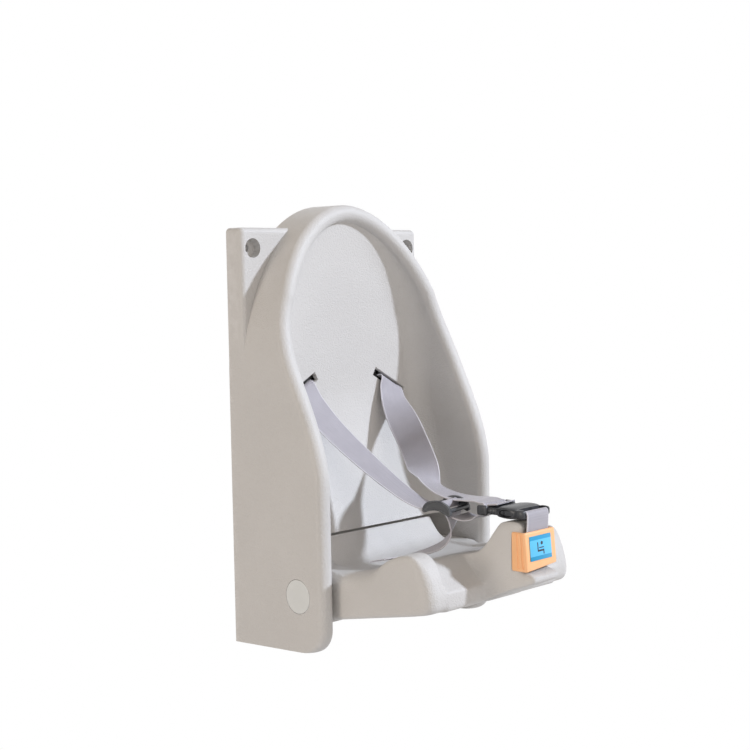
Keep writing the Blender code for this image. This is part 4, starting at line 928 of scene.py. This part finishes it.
TAIL_ROUTE = (
    (-0.0172, -0.2312, -0.0790, -0.978, -0.208, 0), (-0.0170, -0.2316, -0.0860, -0.97, -0.24, 0),
    (-0.0172, -0.2316, -0.0935, -0.9, -0.43, 0), (-0.0180, -0.2305, -0.1015, -0.82, -0.57, 0),
    (-0.0205, -0.2290, -0.1095, -0.77, -0.64, 0), (-0.0262, -0.2260, -0.1170, -0.7, -0.7, 0.05),
    (-0.0350, -0.2215, -0.1230, -0.55, -0.83, 0.1), (-0.0465, -0.2160, -0.1268, -0.35, -0.93, 0.15),
    (-0.0615, -0.2110, -0.1292, -0.15, -0.97, 0.2), (-0.0800, -0.2060, -0.1302, -0.05, -0.98, 0.2),
    (-0.0990, -0.2025, -0.1290, -0.1, -0.97, 0.25), (-0.1100, -0.1990, -0.1295, -0.15, -0.96, 0.25),
)
CROTCH_ROUTE = straight(
    (-0.3354, -0.1340), (-0.3360, -0.1150), (-0.3378, -0.0975), (-0.3388, -0.0870),
    (-0.3391, -0.0795), (-0.3387, -0.0752), (-0.3370, -0.0731), (-0.3345, -0.0729),
    (-0.3326, -0.0745), (-0.3322, -0.0790),
)
END_ROUTE = straight(
    (-0.2824, -0.0750), (-0.2830, -0.0712), (-0.2858, -0.0699), (-0.2900, -0.0694),
    (-0.2935, -0.0689), (-0.2970, -0.0685),
)
STRAP_WIDTH, STRAP_THICKNESS = 0.038, 0.0015
# Share of the thickness between the selvages, then shares of the half width: where a selvage
# starts, where it is full, and where its round edge starts.
BAND_FULL, SELVAGE_START, SELVAGE_FULL, EDGE_START = 0.86, 0.86, 0.94, 0.965
ROUTES = (LEFT_ROUTE, RIGHT_ROUTE, LINK_ROUTE, TAIL_ROUTE, CROTCH_ROUTE, END_ROUTE)
print("points of the routes:", [len(route) for route in ROUTES])


# %% Ribbon along a route
def smooth_route(route, steps=12):
    """Places and directions read from a smooth curve through the route's points."""
    spots = [Vector(point[:3]) for point in route]
    ways = [Vector(point[3:]).normalized() for point in route]
    places, across = [], []
    for i, (start, end) in enumerate(zip(spots, spots[1:])):
        before, after = spots[max(i - 1, 0)], spots[min(i + 2, len(spots) - 1)]
        for step in range(steps):
            t = step / steps
            places.append((before * (-t + 2 * t ** 2 - t ** 3)
                           + start * (2 - 5 * t ** 2 + 3 * t ** 3)
                           + end * (t + 4 * t ** 2 - 3 * t ** 3) + after * (t ** 3 - t ** 2)) / 2)
            across.append(ways[i].lerp(ways[i + 1], t).normalized())
    return places + [spots[-1]], across + [ways[-1]]


def strap_frame(places, ways, i):
    """The directions across the strap and out of its face, at one place."""
    along = (places[min(i + 1, len(places) - 1)] - places[max(i - 1, 0)]).normalized()
    side = (ways[i] - along * ways[i].dot(along)).normalized()
    return side, along.cross(side).normalized()


def ribbon_section(count=20):
    """(across, out) points round a woven band: full selvages, and a hollow between them."""
    top = []
    for step in range(count + 1):
        share = 2 * step / count - 1
        share = math.copysign(1 - (1 - abs(share)) ** 1.6, share)
        full = BAND_FULL + (1 - BAND_FULL) * smoothstep(abs(share), SELVAGE_START, SELVAGE_FULL)
        past = max(0, (abs(share) - EDGE_START) / (1 - EDGE_START))
        full *= math.sqrt(max(0, 1 - past ** 2))
        top.append((share * STRAP_WIDTH / 2, full * STRAP_THICKNESS / 2))
    return top + [(across, -out) for across, out in top[-2:0:-1]]


def ribbon(name, route):
    """A strap swept along its route, with a UV map in metres: x along it and y across it."""
    places, ways = smooth_route(route)
    shape = bmesh.new()
    layer = shape.loops.layers.uv.new("route")
    rings, on_strap, length = [], {}, 0
    for i, place in enumerate(places):
        side, out = strap_frame(places, ways, i)
        length += (place - places[max(i - 1, 0)]).length
        ring = []
        for across, rise in ribbon_section():
            ring.append(shape.verts.new(place + side * across + out * rise))
            on_strap[ring[-1]] = (length, across)
        rings.append(ring)
    loft(shape, rings)
    for face in shape.faces:
        for loop in face.loops:
            loop[layer].uv = on_strap[loop.vert]
    return mesh_object(name, shape, WEBBING_FINISH, angle=60)


print("points round a ribbon:", len(ribbon_section()))

# %% Straps
left_strap = ribbon("left_harness_strap", LEFT_ROUTE)
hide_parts("left_shoulder_strap")
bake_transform(left_strap)
right_strap = ribbon("right_harness_strap", RIGHT_ROUTE)
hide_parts("right_shoulder_strap")
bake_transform(right_strap)
link = ribbon("link_webbing", LINK_ROUTE)
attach(link, "tongue")
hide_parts("link_strap")
tail = ribbon("free_tail", TAIL_ROUTE)
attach(tail, "tongue")
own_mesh(tail)
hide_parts("left_strap_tail")
crotch = ribbon("crotch_webbing", CROTCH_ROUTE)
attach(crotch, "seat")
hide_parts("crotch_strap")
sewn_end = ribbon("sewn_strap_end", END_ROUTE)
# The free edge of the sewn end is cut at a slant.
for vert in sewn_end.data.vertices:
    slant = min(1, max(0, (-0.290 - vert.co.y) / 0.0150))
    vert.co.y += 0.0090 * slant * (vert.co.x / STRAP_WIDTH + 0.5)
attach(sewn_end, "tongue")
straps = (left_strap, right_strap, link, tail, crotch, sewn_end)
print("straps woven:", sum(len(piece.data.polygons) for piece in straps), "faces")

# %% [markdown]
# ## Buckle
# The side release buckle is injection moulded and glossy black. Its socket is a flat sleeve whose
# height and width change along it: a round bar for the webbing in front, then the sleeve with an
# oval opening in each side, where the tongue's two arms are pressed. A row of rounded sections
# gives such a body its swellings and its neck.

# %% Body with rounded sections
BUCKLE_HEIGHT = -0.076


def rounded_section(width, height, power, count=56):
    """A rectangle whose corners are rounded by a power curve."""
    points = []
    for step in range(count):
        angle = 2 * math.pi * step / count
        points.append([math.copysign(abs(value) ** (2 / power), value) * reach / 2 for value, reach
                       in ((math.cos(angle), width), (math.sin(angle), height))])
    return points


def swelling_body(name, front, stations, power=5.0, middle=0):
    """A closed body of rounded sections: (distance behind the front, width, height) for each."""
    shape = bmesh.new()
    loft(shape, [[shape.verts.new((middle + across, front + along, BUCKLE_HEIGHT + up))
                  for across, up in rounded_section(width, height, power)]
                 for along, width, height in stations])
    return mesh_object(name, shape, BUCKLE_FINISH, angle=40)


def buckle_block(name, size, distance, up=0.0, across=0.0, edge=0.0012, steps=3):
    """A block at a distance from the wall, level with the buckle."""
    return block(name, size, (across, distance, BUCKLE_HEIGHT + up), edge=edge, steps=steps)


def side_opening(radius, length, height, distance):
    """An oval bar right across the socket, longer along y than it is high."""
    shape = bmesh.new()
    bmesh.ops.create_cone(shape, cap_ends=True, segments=48, radius1=0.5, radius2=0.5, depth=1)
    upright = Matrix.Rotation(math.radians(90), 3, "Y")
    bmesh.ops.transform(shape, matrix=upright.to_4x4(), verts=shape.verts)
    bmesh.ops.scale(shape, vec=(length, 2 * radius, height), verts=shape.verts)
    place_shape(shape, (0, distance, BUCKLE_HEIGHT))
    return mesh_object("side_opening", shape)


print("points round a section:", len(rounded_section(1, 1, 5)))

# %% Socket
SOCKET_FRONT = -0.3380
SOCKET_STATIONS = (
    (0.0000, 0.0452, 0.0072), (0.0006, 0.0478, 0.0098), (0.0018, 0.0494, 0.0113),
    (0.0045, 0.0500, 0.0118), (0.0080, 0.0500, 0.0116), (0.0100, 0.0490, 0.0109),
    (0.0116, 0.0476, 0.0105), (0.0132, 0.0482, 0.0110), (0.0160, 0.0498, 0.0129),
    (0.0200, 0.0504, 0.0138), (0.0240, 0.0506, 0.0140), (0.0290, 0.0502, 0.0138),
    (0.0330, 0.0490, 0.0130), (0.0360, 0.0478, 0.0124), (0.0375, 0.0466, 0.0112),
)
# The round bar for the crotch strap stays between these cuts.
BAR_TOP, BAR_LOW, BAR_FRONT = 0.0014, -0.0030, 0.0006
BAR_WIDTH, BAR_MIDDLE = 0.040, SOCKET_FRONT + 0.0020
socket = swelling_body("socket_sleeve", SOCKET_FRONT, SOCKET_STATIONS)
carve(socket, removed=[
    buckle_block("strap_slot", (BAR_WIDTH, 0.0062, 0.030), SOCKET_FRONT + 0.0079),
    buckle_block("bar_top", (BAR_WIDTH, 0.0090, 0.0100), BAR_MIDDLE, BAR_TOP + 0.0050, edge=0),
    buckle_block("bar_low", (BAR_WIDTH, 0.0090, 0.0100), BAR_MIDDLE, BAR_LOW - 0.0050, edge=0),
    buckle_block("bar_front", (BAR_WIDTH, 0.0040, 0.0300), SOCKET_FRONT + BAR_FRONT - 0.0020,
                 edge=0),
    buckle_block("pocket", (0.045, 0.0355, 0.0090), -0.30825),
    side_opening(0.0100, 0.060, 0.0084, -0.3142),
], angle=40)
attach(socket, "buckle")
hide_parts("buckle_socket")
print("socket:", len(socket.data.polygons), "faces")

# %% Tongue and its arms
TONGUE_FRONT = -0.3002
TONGUE_STATIONS = (
    (0.0000, 0.0455, 0.0082), (0.0008, 0.0468, 0.0096), (0.0022, 0.0472, 0.0098),
    (0.0030, 0.0464, 0.0090), (0.0038, 0.0464, 0.0090), (0.0046, 0.0472, 0.0098),
    (0.0060, 0.0472, 0.0098), (0.0068, 0.0464, 0.0090), (0.0076, 0.0464, 0.0090),
    (0.0084, 0.0472, 0.0098), (0.0100, 0.0470, 0.0096), (0.0114, 0.0472, 0.0086),
    (0.0140, 0.0480, 0.0085), (0.0165, 0.0486, 0.0085), (0.0235, 0.0486, 0.0085),
    (0.0262, 0.0480, 0.0080), (0.0275, 0.0468, 0.0066), (0.0280, 0.0448, 0.0044),
)
ARM_LENGTH, ARM_MIDDLE, ARM_WIDTH, ARM_HEIGHT = 0.025, 0.02055, 0.0045, 0.0074
PAD_OUT, PAD_UP = 0.0024, 0.0004
tongue = swelling_body("tongue_plate", TONGUE_FRONT, TONGUE_STATIONS, 4.0)
knobs = [buckle_block("knob", (0.0056, 0.0140, 0.0114), -0.2806, 0.0003, side * 0.0240,
                      edge=0.0024, steps=4) for side in SIDES]
carve(tongue, [buckle_block("guide", (0.012, 0.024, 0.0082), TONGUE_FRONT - 0.010)] + knobs,
      [buckle_block("window", (0.040, 0.009, 0.020), -0.2817)], angle=40)
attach(tongue, "tongue")
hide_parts("buckle_tongue")


def arm(side, tag):
    """A springy arm whose pad fills the oval opening of the socket."""
    stations = []
    for step in range(25):
        along = step / 24
        pad = smoothstep(along, 0.30, 0.50) * (1 - smoothstep(along, 0.84, 0.98))
        taper = 1 - 0.35 * smoothstep(along, 0.9, 1)
        stations.append((-ARM_LENGTH * along, ARM_WIDTH * taper + PAD_OUT * pad,
                         (ARM_HEIGHT + PAD_UP * pad) * taper))
    piece = swelling_body("press_arm_" + tag, TONGUE_FRONT - GAP, stations, 4.0, side * ARM_MIDDLE)
    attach(piece, "arm_" + tag)
    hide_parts("tongue_arm_" + tag)
    return piece


arms = [arm(-1, "left"), arm(1, "right")]
print("tongue and arms:", sum(len(piece.data.polygons) for piece in [tongue] + arms), "faces")

# %% [markdown]
# ## Slide adjuster
# The webbing is shortened in a frame of two arched rails and three bars. Each rail has a raised
# outline on its outer face, which a person feels with the thumb. The rail is drawn once as a flat
# outline, given its thickness, and its outer face is inset and pushed in.

# %% Slide adjuster
SLIDE_MIDDLE = Vector((-0.0190, -0.2230, -0.0765))
SLIDE_TURN = Matrix.Rotation(math.radians(12), 3, "Z") @ Matrix.Rotation(math.radians(5), 3, "X")
SLIDE_HALF, SLIDE_ARCH, SLIDE_HALF_WIDTH, RAIL_WIDTH = 0.0185, 0.0070, 0.0235, 0.0034
RAIL_HALF, RAIL_DROP = 0.0056, 0.0008
# Distance in and distance out of each step that draws the raised outline.
RAIL_INSETS = ((0.0006, 0.0004), (0.0010, 0), (0.0005, -0.0006))
# Distance from the middle, width and height of each cross bar.
CROSS_BARS = ((0.0155, 0.0050, 0.0044), (0, 0.0060, 0.0050), (-0.0155, 0.0050, 0.0044))


def arch_rise(along):
    return SLIDE_ARCH * (0.5 - (along / SLIDE_HALF) ** 2)


def rail(side):
    """One arched side plate with round ends."""
    upper, lower = [], []
    for step in range(1, 40):
        share = math.cos(math.pi * step / 40)
        half = RAIL_HALF * math.sqrt(max(0, 1 - max(0, (abs(share) - 0.70) / 0.30) ** 2))
        middle = arch_rise(share * SLIDE_HALF) - RAIL_DROP
        upper.append((share * SLIDE_HALF, middle + half))
        lower.append((share * SLIDE_HALF, middle - half))
    shape = bmesh.new()
    face = shape.faces.new([shape.verts.new((0, *point)) for point in upper + lower[::-1]])
    new = bmesh.ops.extrude_face_region(shape, geom=[face])["geom"]
    bmesh.ops.translate(shape, vec=(side * RAIL_WIDTH, 0, 0),
                        verts=[item for item in new if isinstance(item, bmesh.types.BMVert)])
    bmesh.ops.recalc_face_normals(shape, faces=shape.faces)
    outer = max((face for face in shape.faces if len(face.verts) > 8),
                key=lambda face: side * face.calc_center_median().x)
    for thickness, depth in RAIL_INSETS:
        bmesh.ops.inset_region(shape, faces=[outer], thickness=thickness, depth=depth)
    place_shape(shape, (side * (SLIDE_HALF_WIDTH - RAIL_WIDTH), 0, 0))
    return mesh_object("rail", shape, angle=28)


slide = rail(-1)
slide.name = "slide_frame"
slide.data.materials.append(SLIDE_FINISH)
carve(slide, [rail(1)] + [
    block("bar", (2 * SLIDE_HALF_WIDTH - RAIL_WIDTH, width, height), (0, along, arch_rise(along)),
          edge=0.0014, steps=4) for along, width, height in CROSS_BARS], angle=28)
slide.data.transform(Matrix.Translation(SLIDE_MIDDLE) @ SLIDE_TURN.to_4x4())
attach(slide, "adjuster")
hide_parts("slide_adjuster")
print("slide adjuster:", len(slide.data.polygons), "faces")

# %% [markdown]
# ## Label holder
# An orange holder is clipped round the crotch post, with two upright grooves on each side that let
# it bend while it is pushed on. It carries a small printed plate. The real plate's picture isn't
# copied: this one has plain bands and a simple seat sign of its own, with no words.

# %% Label holder
# How far the foot of the front leans out, and how far it rises at its right end.
HOLDER_LEAN, HOLDER_TAPER = 0.0034, 0.0042
# Distance behind the front, and radius, of each groove.
GROOVES = ((0.0046, 0.0015), (0.0102, 0.0012))
PLATE_SIZE = Vector((0.0375, 0.0006, 0.0268))
PLATE_MIDDLE = Vector((-0.0011, -HOLDER_FRONT - 0.0005, -0.1129))


def leaned(obj, taper=0.0):
    """Leans the front face out at its foot, and lets the foot rise towards the right."""
    width, depth, height = HOLDER_SIZE
    for vert in obj.data.vertices:
        down = (HOLDER_MIDDLE.z + height / 2 - vert.co.z) / height
        front = min(1.1, max(0, (depth - HOLDER_FRONT - vert.co.y) / depth))
        vert.co.y -= HOLDER_LEAN * down * front
        vert.co.z += taper * (0.5 + vert.co.x / width) * max(0, 2 * down - 1)
    return obj


def label_holder():
    width, depth, height = HOLDER_SIZE
    body = block("clip_holder", HOLDER_SIZE, HOLDER_MIDDLE, edge=0.0024, steps=6)
    body.data.materials.append(HOLDER_FINISH)
    cuts = [block("hollow", (width - 2 * HOLDER_WALL, depth, height + SPARE),
                  HOLDER_MIDDLE + Y_AXIS * HOLDER_WALL)]
    for side in SIDES:
        for behind, radius in GROOVES:
            middle = (side * (width / 2 + GAP), behind - HOLDER_FRONT, HOLDER_MIDDLE.z + 0.001)
            cuts.append(round_bar("groove", radius, height - 0.006, middle, Z_AXIS, 24))
    return leaned(carve(body, removed=cuts, angle=40), HOLDER_TAPER)


holder = label_holder()
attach(holder, "seat")
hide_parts("label_holder")
plate = leaned(block("printed_plate", PLATE_SIZE, PLATE_MIDDLE, edge=0.0002, steps=2))
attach(plate, "seat")
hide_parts("label_plate")
print("holder:", len(holder.data.polygons), "faces")

# %% Printed label
BAND_REACH, EDGE_REACH = 0.0046, 0.0004
# Middle across and up, and half size across and up, of each bar of the sign.
SIGN_BARS = ((-0.0052, 0.0008, 0.0009, 0.0052), (-0.0002, -0.0034, 0.0059, 0.0010),
             (0.0048, -0.0052, 0.0009, 0.0026), (0.0010, -0.0002, 0.0042, 0.0006))
HEAD_ACROSS, HEAD_UP, HEAD_RADIUS = 0.0020, 0.0046, 0.0020
FIELD_BLUE, BAND_BLUE, SIGN_INK = (0.105, 0.553, 0.896), (0.0, 0.315, 0.580), (0.010, 0.016, 0.024)


def printed_label():
    """Blue bands and a plain seat sign, by distances on the plate."""
    material, tree, shader = new_finish("Printed label")
    place = put(tree, "ShaderNodeTexCoord").outputs["Object"]
    parts = split(tree, place)
    across = maths(tree, "SUBTRACT", parts["X"], PLATE_MIDDLE.x)
    up = maths(tree, "SUBTRACT", parts["Z"], PLATE_MIDDLE.z)

    def inside(value, centre, reach, soft=0.00008):
        offset = maths(tree, "ABSOLUTE", maths(tree, "SUBTRACT", value, centre))
        return ramped(tree, offset, reach - soft, reach + soft, 1.0, 0.0)

    def squared(value, centre):
        return maths(tree, "POWER", maths(tree, "SUBTRACT", value, centre), 2.0)

    def both_ends(value, size, reach):
        return maths(tree, "MAXIMUM", *(inside(value, end * size / 2, reach) for end in SIDES))

    away = maths(tree, "ADD", squared(across, HEAD_ACROSS), squared(up, HEAD_UP))
    sign = inside(maths(tree, "SQRT", away), 0.0, HEAD_RADIUS)
    for x, z, wide, high in SIGN_BARS:
        bar = maths(tree, "MULTIPLY", inside(across, x, wide), inside(up, z, high))
        sign = maths(tree, "MAXIMUM", sign, bar)
    field = mixed(tree, both_ends(up, PLATE_SIZE.z, BAND_REACH), FIELD_BLUE, BAND_BLUE)
    cloud = clouds(tree, place, 700.0, 3.0)
    gloss = ramped(tree, cloud, 0.3, 0.7, 0.30, 0.38)
    rim = maths(tree, "MULTIPLY", both_ends(across, PLATE_SIZE.x, EDGE_REACH), 0.2)
    fill(tree, shader, {
        "Base Color": mixed(tree, sign, field, SIGN_INK),
        "Roughness": maths(tree, "ADD", gloss, rim),
        "Coat Weight": 0.3,
        "Normal": bumped(tree, cloud, 0.00002),
    })
    return material


LABEL_FINISH = printed_label()
plate.data.materials.append(LABEL_FINISH)
print("label finish ready")

# %% [markdown]
# ## Repeated small pieces
# Stitches and screws repeat, so Geometry Nodes make them. A tree gets its sizes through named
# inputs, copies one small shape to many points, and ends by making the copies real and giving them
# their material. Then the result is used up as a plain mesh.


# %% Geometry Nodes helpers
def geometry_tree(name, sockets):
    tree = bpy.data.node_groups.new(name, "GeometryNodeTree")
    ends = {"Geometry": "NodeSocketGeometry", **sockets, "Material": "NodeSocketMaterial"}
    for label, kind in ends.items():
        tree.interface.new_socket(label, in_out="INPUT", socket_type=kind)
    tree.interface.new_socket("Geometry", in_out="OUTPUT", socket_type=ends["Geometry"])
    return tree, tree.nodes.new("NodeGroupInput").outputs


def combined(tree, **parts):
    """A vector of its x, y and z; those left out are 0."""
    return put(tree, "ShaderNodeCombineXYZ", parts).outputs[0]


def transformed(tree, shape, **change):
    """A shape moved or scaled."""
    return put(tree, "GeometryNodeTransform", {"Geometry": shape.outputs[0], **change}).outputs[0]


def finish_tree(tree, given, copies):
    """Places the copies, makes them real and gives them the material that the tree is handed."""
    placed = put(tree, "GeometryNodeInstanceOnPoints", copies)
    real = put(tree, "GeometryNodeRealizeInstances", {"Geometry": placed.outputs[0]})
    coloured = put(tree, "GeometryNodeSetMaterial",
                   {"Geometry": real.outputs[0], "Material": given["Material"]})
    fill(tree, tree.nodes.new("NodeGroupOutput"), {"Geometry": coloured.outputs[0]})
    return tree


def grown(name, points, edges, tree, values):
    """An object made by a tree, with its inputs set by the identifier of each socket."""
    mesh = bpy.data.meshes.new(name)
    mesh.from_pydata(points, edges, [])
    obj = object_of(name, mesh)
    change = obj.modifiers.new(tree.name, "NODES")
    change.node_group = tree
    for socket in tree.interface.items_tree:
        if socket.in_out == "INPUT" and socket.name in values:
            change[socket.identifier] = values[socket.name]
    return baked(obj, 40)


print("helpers for trees ready")


# %% Trees of the stitches and the screws
def build_stitches():
    tree, given = geometry_tree("Stitches along lines", dict.fromkeys(
        ("Pitch", "Stitch length", "Thread radius"), FLOAT))
    lines = put(tree, "GeometryNodeMeshToCurve", {"Mesh": given["Geometry"]})
    spots = put(tree, "GeometryNodeCurveToPoints",
                {"Curve": lines.outputs[0], "Length": given["Pitch"]}, mode="LENGTH").outputs
    thread = put(tree, "GeometryNodeMeshUVSphere", {"Segments": 8, "Rings": 6, "Radius": 1.0})
    radius, half = given["Thread radius"], maths(tree, "MULTIPLY", given["Stitch length"], 0.5)
    stitch = transformed(tree, thread, Scale=combined(tree, X=radius, Y=radius, Z=half))
    return finish_tree(tree, given, {"Points": spots["Points"], "Instance": stitch,
                                     "Rotation": spots["Rotation"]})


def build_screws():
    tree, given = geometry_tree("Pan head screws", {**dict.fromkeys(
        ("Head radius", "Head height", "Shank radius", "Shank length"), FLOAT), "Facing": VECTOR})
    radius, height, deep = given["Head radius"], given["Head height"], given["Shank length"]
    head = put(tree, "GeometryNodeMeshCylinder",
               {"Vertices": 28, "Radius": radius, "Depth": height})
    middle = combined(tree, Z=maths(tree, "MULTIPLY", height, -0.5))
    cross = put(tree, "GeometryNodeMeshBoolean",
                {"Mesh 1": transformed(tree, head, Translation=middle)}, operation="DIFFERENCE")
    arm_long, arm_wide = (maths(tree, "MULTIPLY", radius, share) for share in (1.15, 0.24))
    for first, second in ((arm_long, arm_wide), (arm_wide, arm_long)):
        size = combined(tree, X=first, Y=second, Z=height)
        recess = put(tree, "GeometryNodeMeshCube", {"Size": size})
        fill(tree, cross, {"Mesh 2": recess.outputs[0]})
    shank = put(tree, "GeometryNodeMeshCylinder",
                {"Vertices": 16, "Radius": given["Shank radius"], "Depth": deep})
    low = combined(tree, Z=maths(tree, "SUBTRACT", maths(tree, "MULTIPLY", deep, -0.5), height))
    whole = put(tree, "GeometryNodeJoinGeometry", {0: cross.outputs[0]})
    fill(tree, whole, {0: transformed(tree, shank, Translation=low)})
    return finish_tree(tree, given, {"Points": given["Geometry"], "Instance": whole.outputs[0],
                                     "Rotation": given["Facing"]})


STITCH_TREE, SCREW_TREE = build_stitches(), build_screws()
print("trees:", STITCH_TREE.name, "/", SCREW_TREE.name)


# %% Screws
def screw_set(name, nodes, facing, body):
    """Cross recess screws in the places of these nodes; facing points out of the heads along y."""
    tops = []
    for node in nodes:
        low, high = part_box(node)
        tops.append((low + high) / 2 + facing * (high.y - low.y) / 2)
    piece = grown(name, tops, [], SCREW_TREE, {
        "Head radius": 0.0036, "Head height": 0.0016,
        "Shank radius": 0.0018, "Shank length": 0.0080,
        "Facing": (-facing.y * math.pi / 2, 0, 0), "Material": STEEL_FINISH})
    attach(piece, body)
    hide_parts(*nodes)
    return piece


cover_screws = screw_set("rear_cover_screws", [
    f"{cover}_screw_{number}" for cover in ("back_cover", "lower_back_cover")
    for number in (1, 2, 3, 4)], Y_AXIS, "shell")
anchor_screws = screw_set("anchor_plate_screws", [
    "crotch_anchor_screw_left", "crotch_anchor_screw_right"], -Y_AXIS, "seat")
print("screws:", len(cover_screws.data.polygons) + len(anchor_screws.data.polygons), "faces")

# %% Stitches
SEAM_ROWS, SEAM_HALF, SEAM_LIFT = 3, 0.0165, 0.00005


def stitched(name, route, start, end, body):
    """Rows of stitches across both faces of a strap, between two shares of its route."""
    places, ways = smooth_route(route)
    points, edges = [], []
    for row in range(SEAM_ROWS):
        share = start + (end - start) * row / (SEAM_ROWS - 1)
        i = round(share * (len(places) - 1))
        side, out = strap_frame(places, ways, i)
        for face in SIDES:
            middle = places[i] + out * face * (STRAP_THICKNESS / 2 + SEAM_LIFT)
            edges += [(len(points) + k, len(points) + k + 1) for k in range(8)]
            points += [middle + side * (k / 4 - 1) * SEAM_HALF for k in range(9)]
    piece = grown(name, points, edges, STITCH_TREE, {
        "Pitch": 0.0026, "Stitch length": 0.0021, "Thread radius": 0.00022,
        "Material": THREAD_FINISH})
    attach(piece, body)
    return piece


seams = (stitched("crotch_strap_stitches", CROTCH_ROUTE, 0.37, 0.47, "seat"),
         stitched("link_strap_stitches", LINK_ROUTE, 0.80, 0.95, "tongue"))
print("stitches:", sum(len(piece.data.polygons) for piece in seams), "faces")

# %% [markdown]
# ## Finishes of the frame's own pieces
# The remaining solids have the right shape already, so each only gets its finish. A solid that a
# moulding above replaces gets one too. The screws come after the covers, whose names they extend.

# %% Finishes of the carried pieces
COATS = (
    (COVER_FINISH, "back_cover lower_back_cover seat_base"),
    (STEEL_FINISH, "base_screw back_cover_screw lower_back_cover_screw crotch_anchor"),
    (STEEL_FINISH, "pivot_bolt pivot_nut pivot_washer"), (ROD_FINISH, "strap_anchor"),
    (NYLON_FINISH, "pivot_bush"), (CAP_FINISH, "pivot_cap"), (RUBBER_FINISH, "stop_buffer"),
    (LABEL_FINISH, "label_plate"), (SHELL_FINISH, "body_shell seat_pan"),
    (HOLDER_FINISH, "label_holder"), (BUCKLE_FINISH, "buckle_ tongue_arm"),
    (SLIDE_FINISH, "slide_adjuster"),
)
for finish, prefixes in COATS:
    for name, node in frame["nodes"].items():
        if name.startswith(tuple(prefixes.split())):
            node.data.materials.clear()
            node.data.materials.append(finish)
print("finishes given:", len(COATS))

# %% [markdown]
# ## Light
# The picture has one lamp high on the right in front, which whitens the faces that look that way,
# and a warm, even light from everywhere else. Two weak, wide lamps lift the left side and the
# front. Rays that come straight from the camera, or from a gloss, see a plain white studio instead
# of that warm light, so that the background stays white.

# %% Floor, lamps and world
FLOOR_HEIGHT, FLOOR_SIZE, FLOOR_COLOUR = -0.85, 6, (0.80, 0.79, 0.78, 1)
WHITE = {"Color": (1, 1, 1, 1), "Strength": 1.0}


def seen_white(tree, lit, white, rays, end):
    """Shows the white shader to these kinds of rays, and the lit one to all others."""
    path = put(tree, "ShaderNodeLightPath").outputs
    share = path["Is Camera Ray"]
    for ray in rays:
        share = maths(tree, "MAXIMUM", share, path[ray])
    seen = put(tree, "ShaderNodeMixShader", {0: share, 1: lit.outputs[0], 2: white.outputs[0]})
    fill(tree, tree.nodes[end], {"Surface": seen.outputs[0]})


def studio_floor():
    material, tree, shader = new_finish("Studio floor")
    fill(tree, shader, {"Base Color": FLOOR_COLOUR, "Roughness": 0.9})
    white = put(tree, "ShaderNodeEmission", WHITE)
    seen_white(tree, shader, white, ["Is Glossy Ray"], "Material Output")
    shape = bmesh.new()
    bmesh.ops.create_grid(shape, x_segments=1, y_segments=1, size=FLOOR_SIZE)
    place_shape(shape, (0, 0, FLOOR_HEIGHT))
    floor = mesh_object("studio_floor", shape, material)


def studio_world(warm, strength):
    world = bpy.data.worlds.new("studio")
    scene.world = world
    world.use_nodes = True
    tree = world.node_tree
    soft = fill(tree, tree.nodes["Background"], {"Color": (*warm, 1), "Strength": strength})
    white = put(tree, "ShaderNodeBackground", WHITE)
    seen_white(tree, soft, white, ["Is Glossy Ray", "Is Transmission Ray"], "World Output")


def lamp(name, toward, energy, colour, spread):
    """A sun that shines from a direction; the spread in degrees softens its shadows' edges."""
    light = bpy.data.lights.new(name, "SUN")
    light.energy = energy
    light.color = colour
    light.angle = math.radians(spread)
    obj = bpy.data.objects.new(name, light)
    obj.rotation_euler = Vector(toward).to_track_quat("Z", "Y").to_euler()
    scene.collection.objects.link(obj)


studio_floor()
studio_world((1.0, 0.90, 0.80), 0.30)
lamp("key_lamp", (0.50, -0.65, 0.47), 2.95, (0.80, 0.87, 1.0), 4)
lamp("side_lamp", (-0.95, 0.20, 0.20), 1.0, (1.0, 0.90, 0.80), 25)
lamp("front_lamp", (-0.25, -0.90, 0.30), 0.60, (1.0, 0.95, 0.92), 60)
scene.view_settings.view_transform = "Standard"
print("lamps and world set")
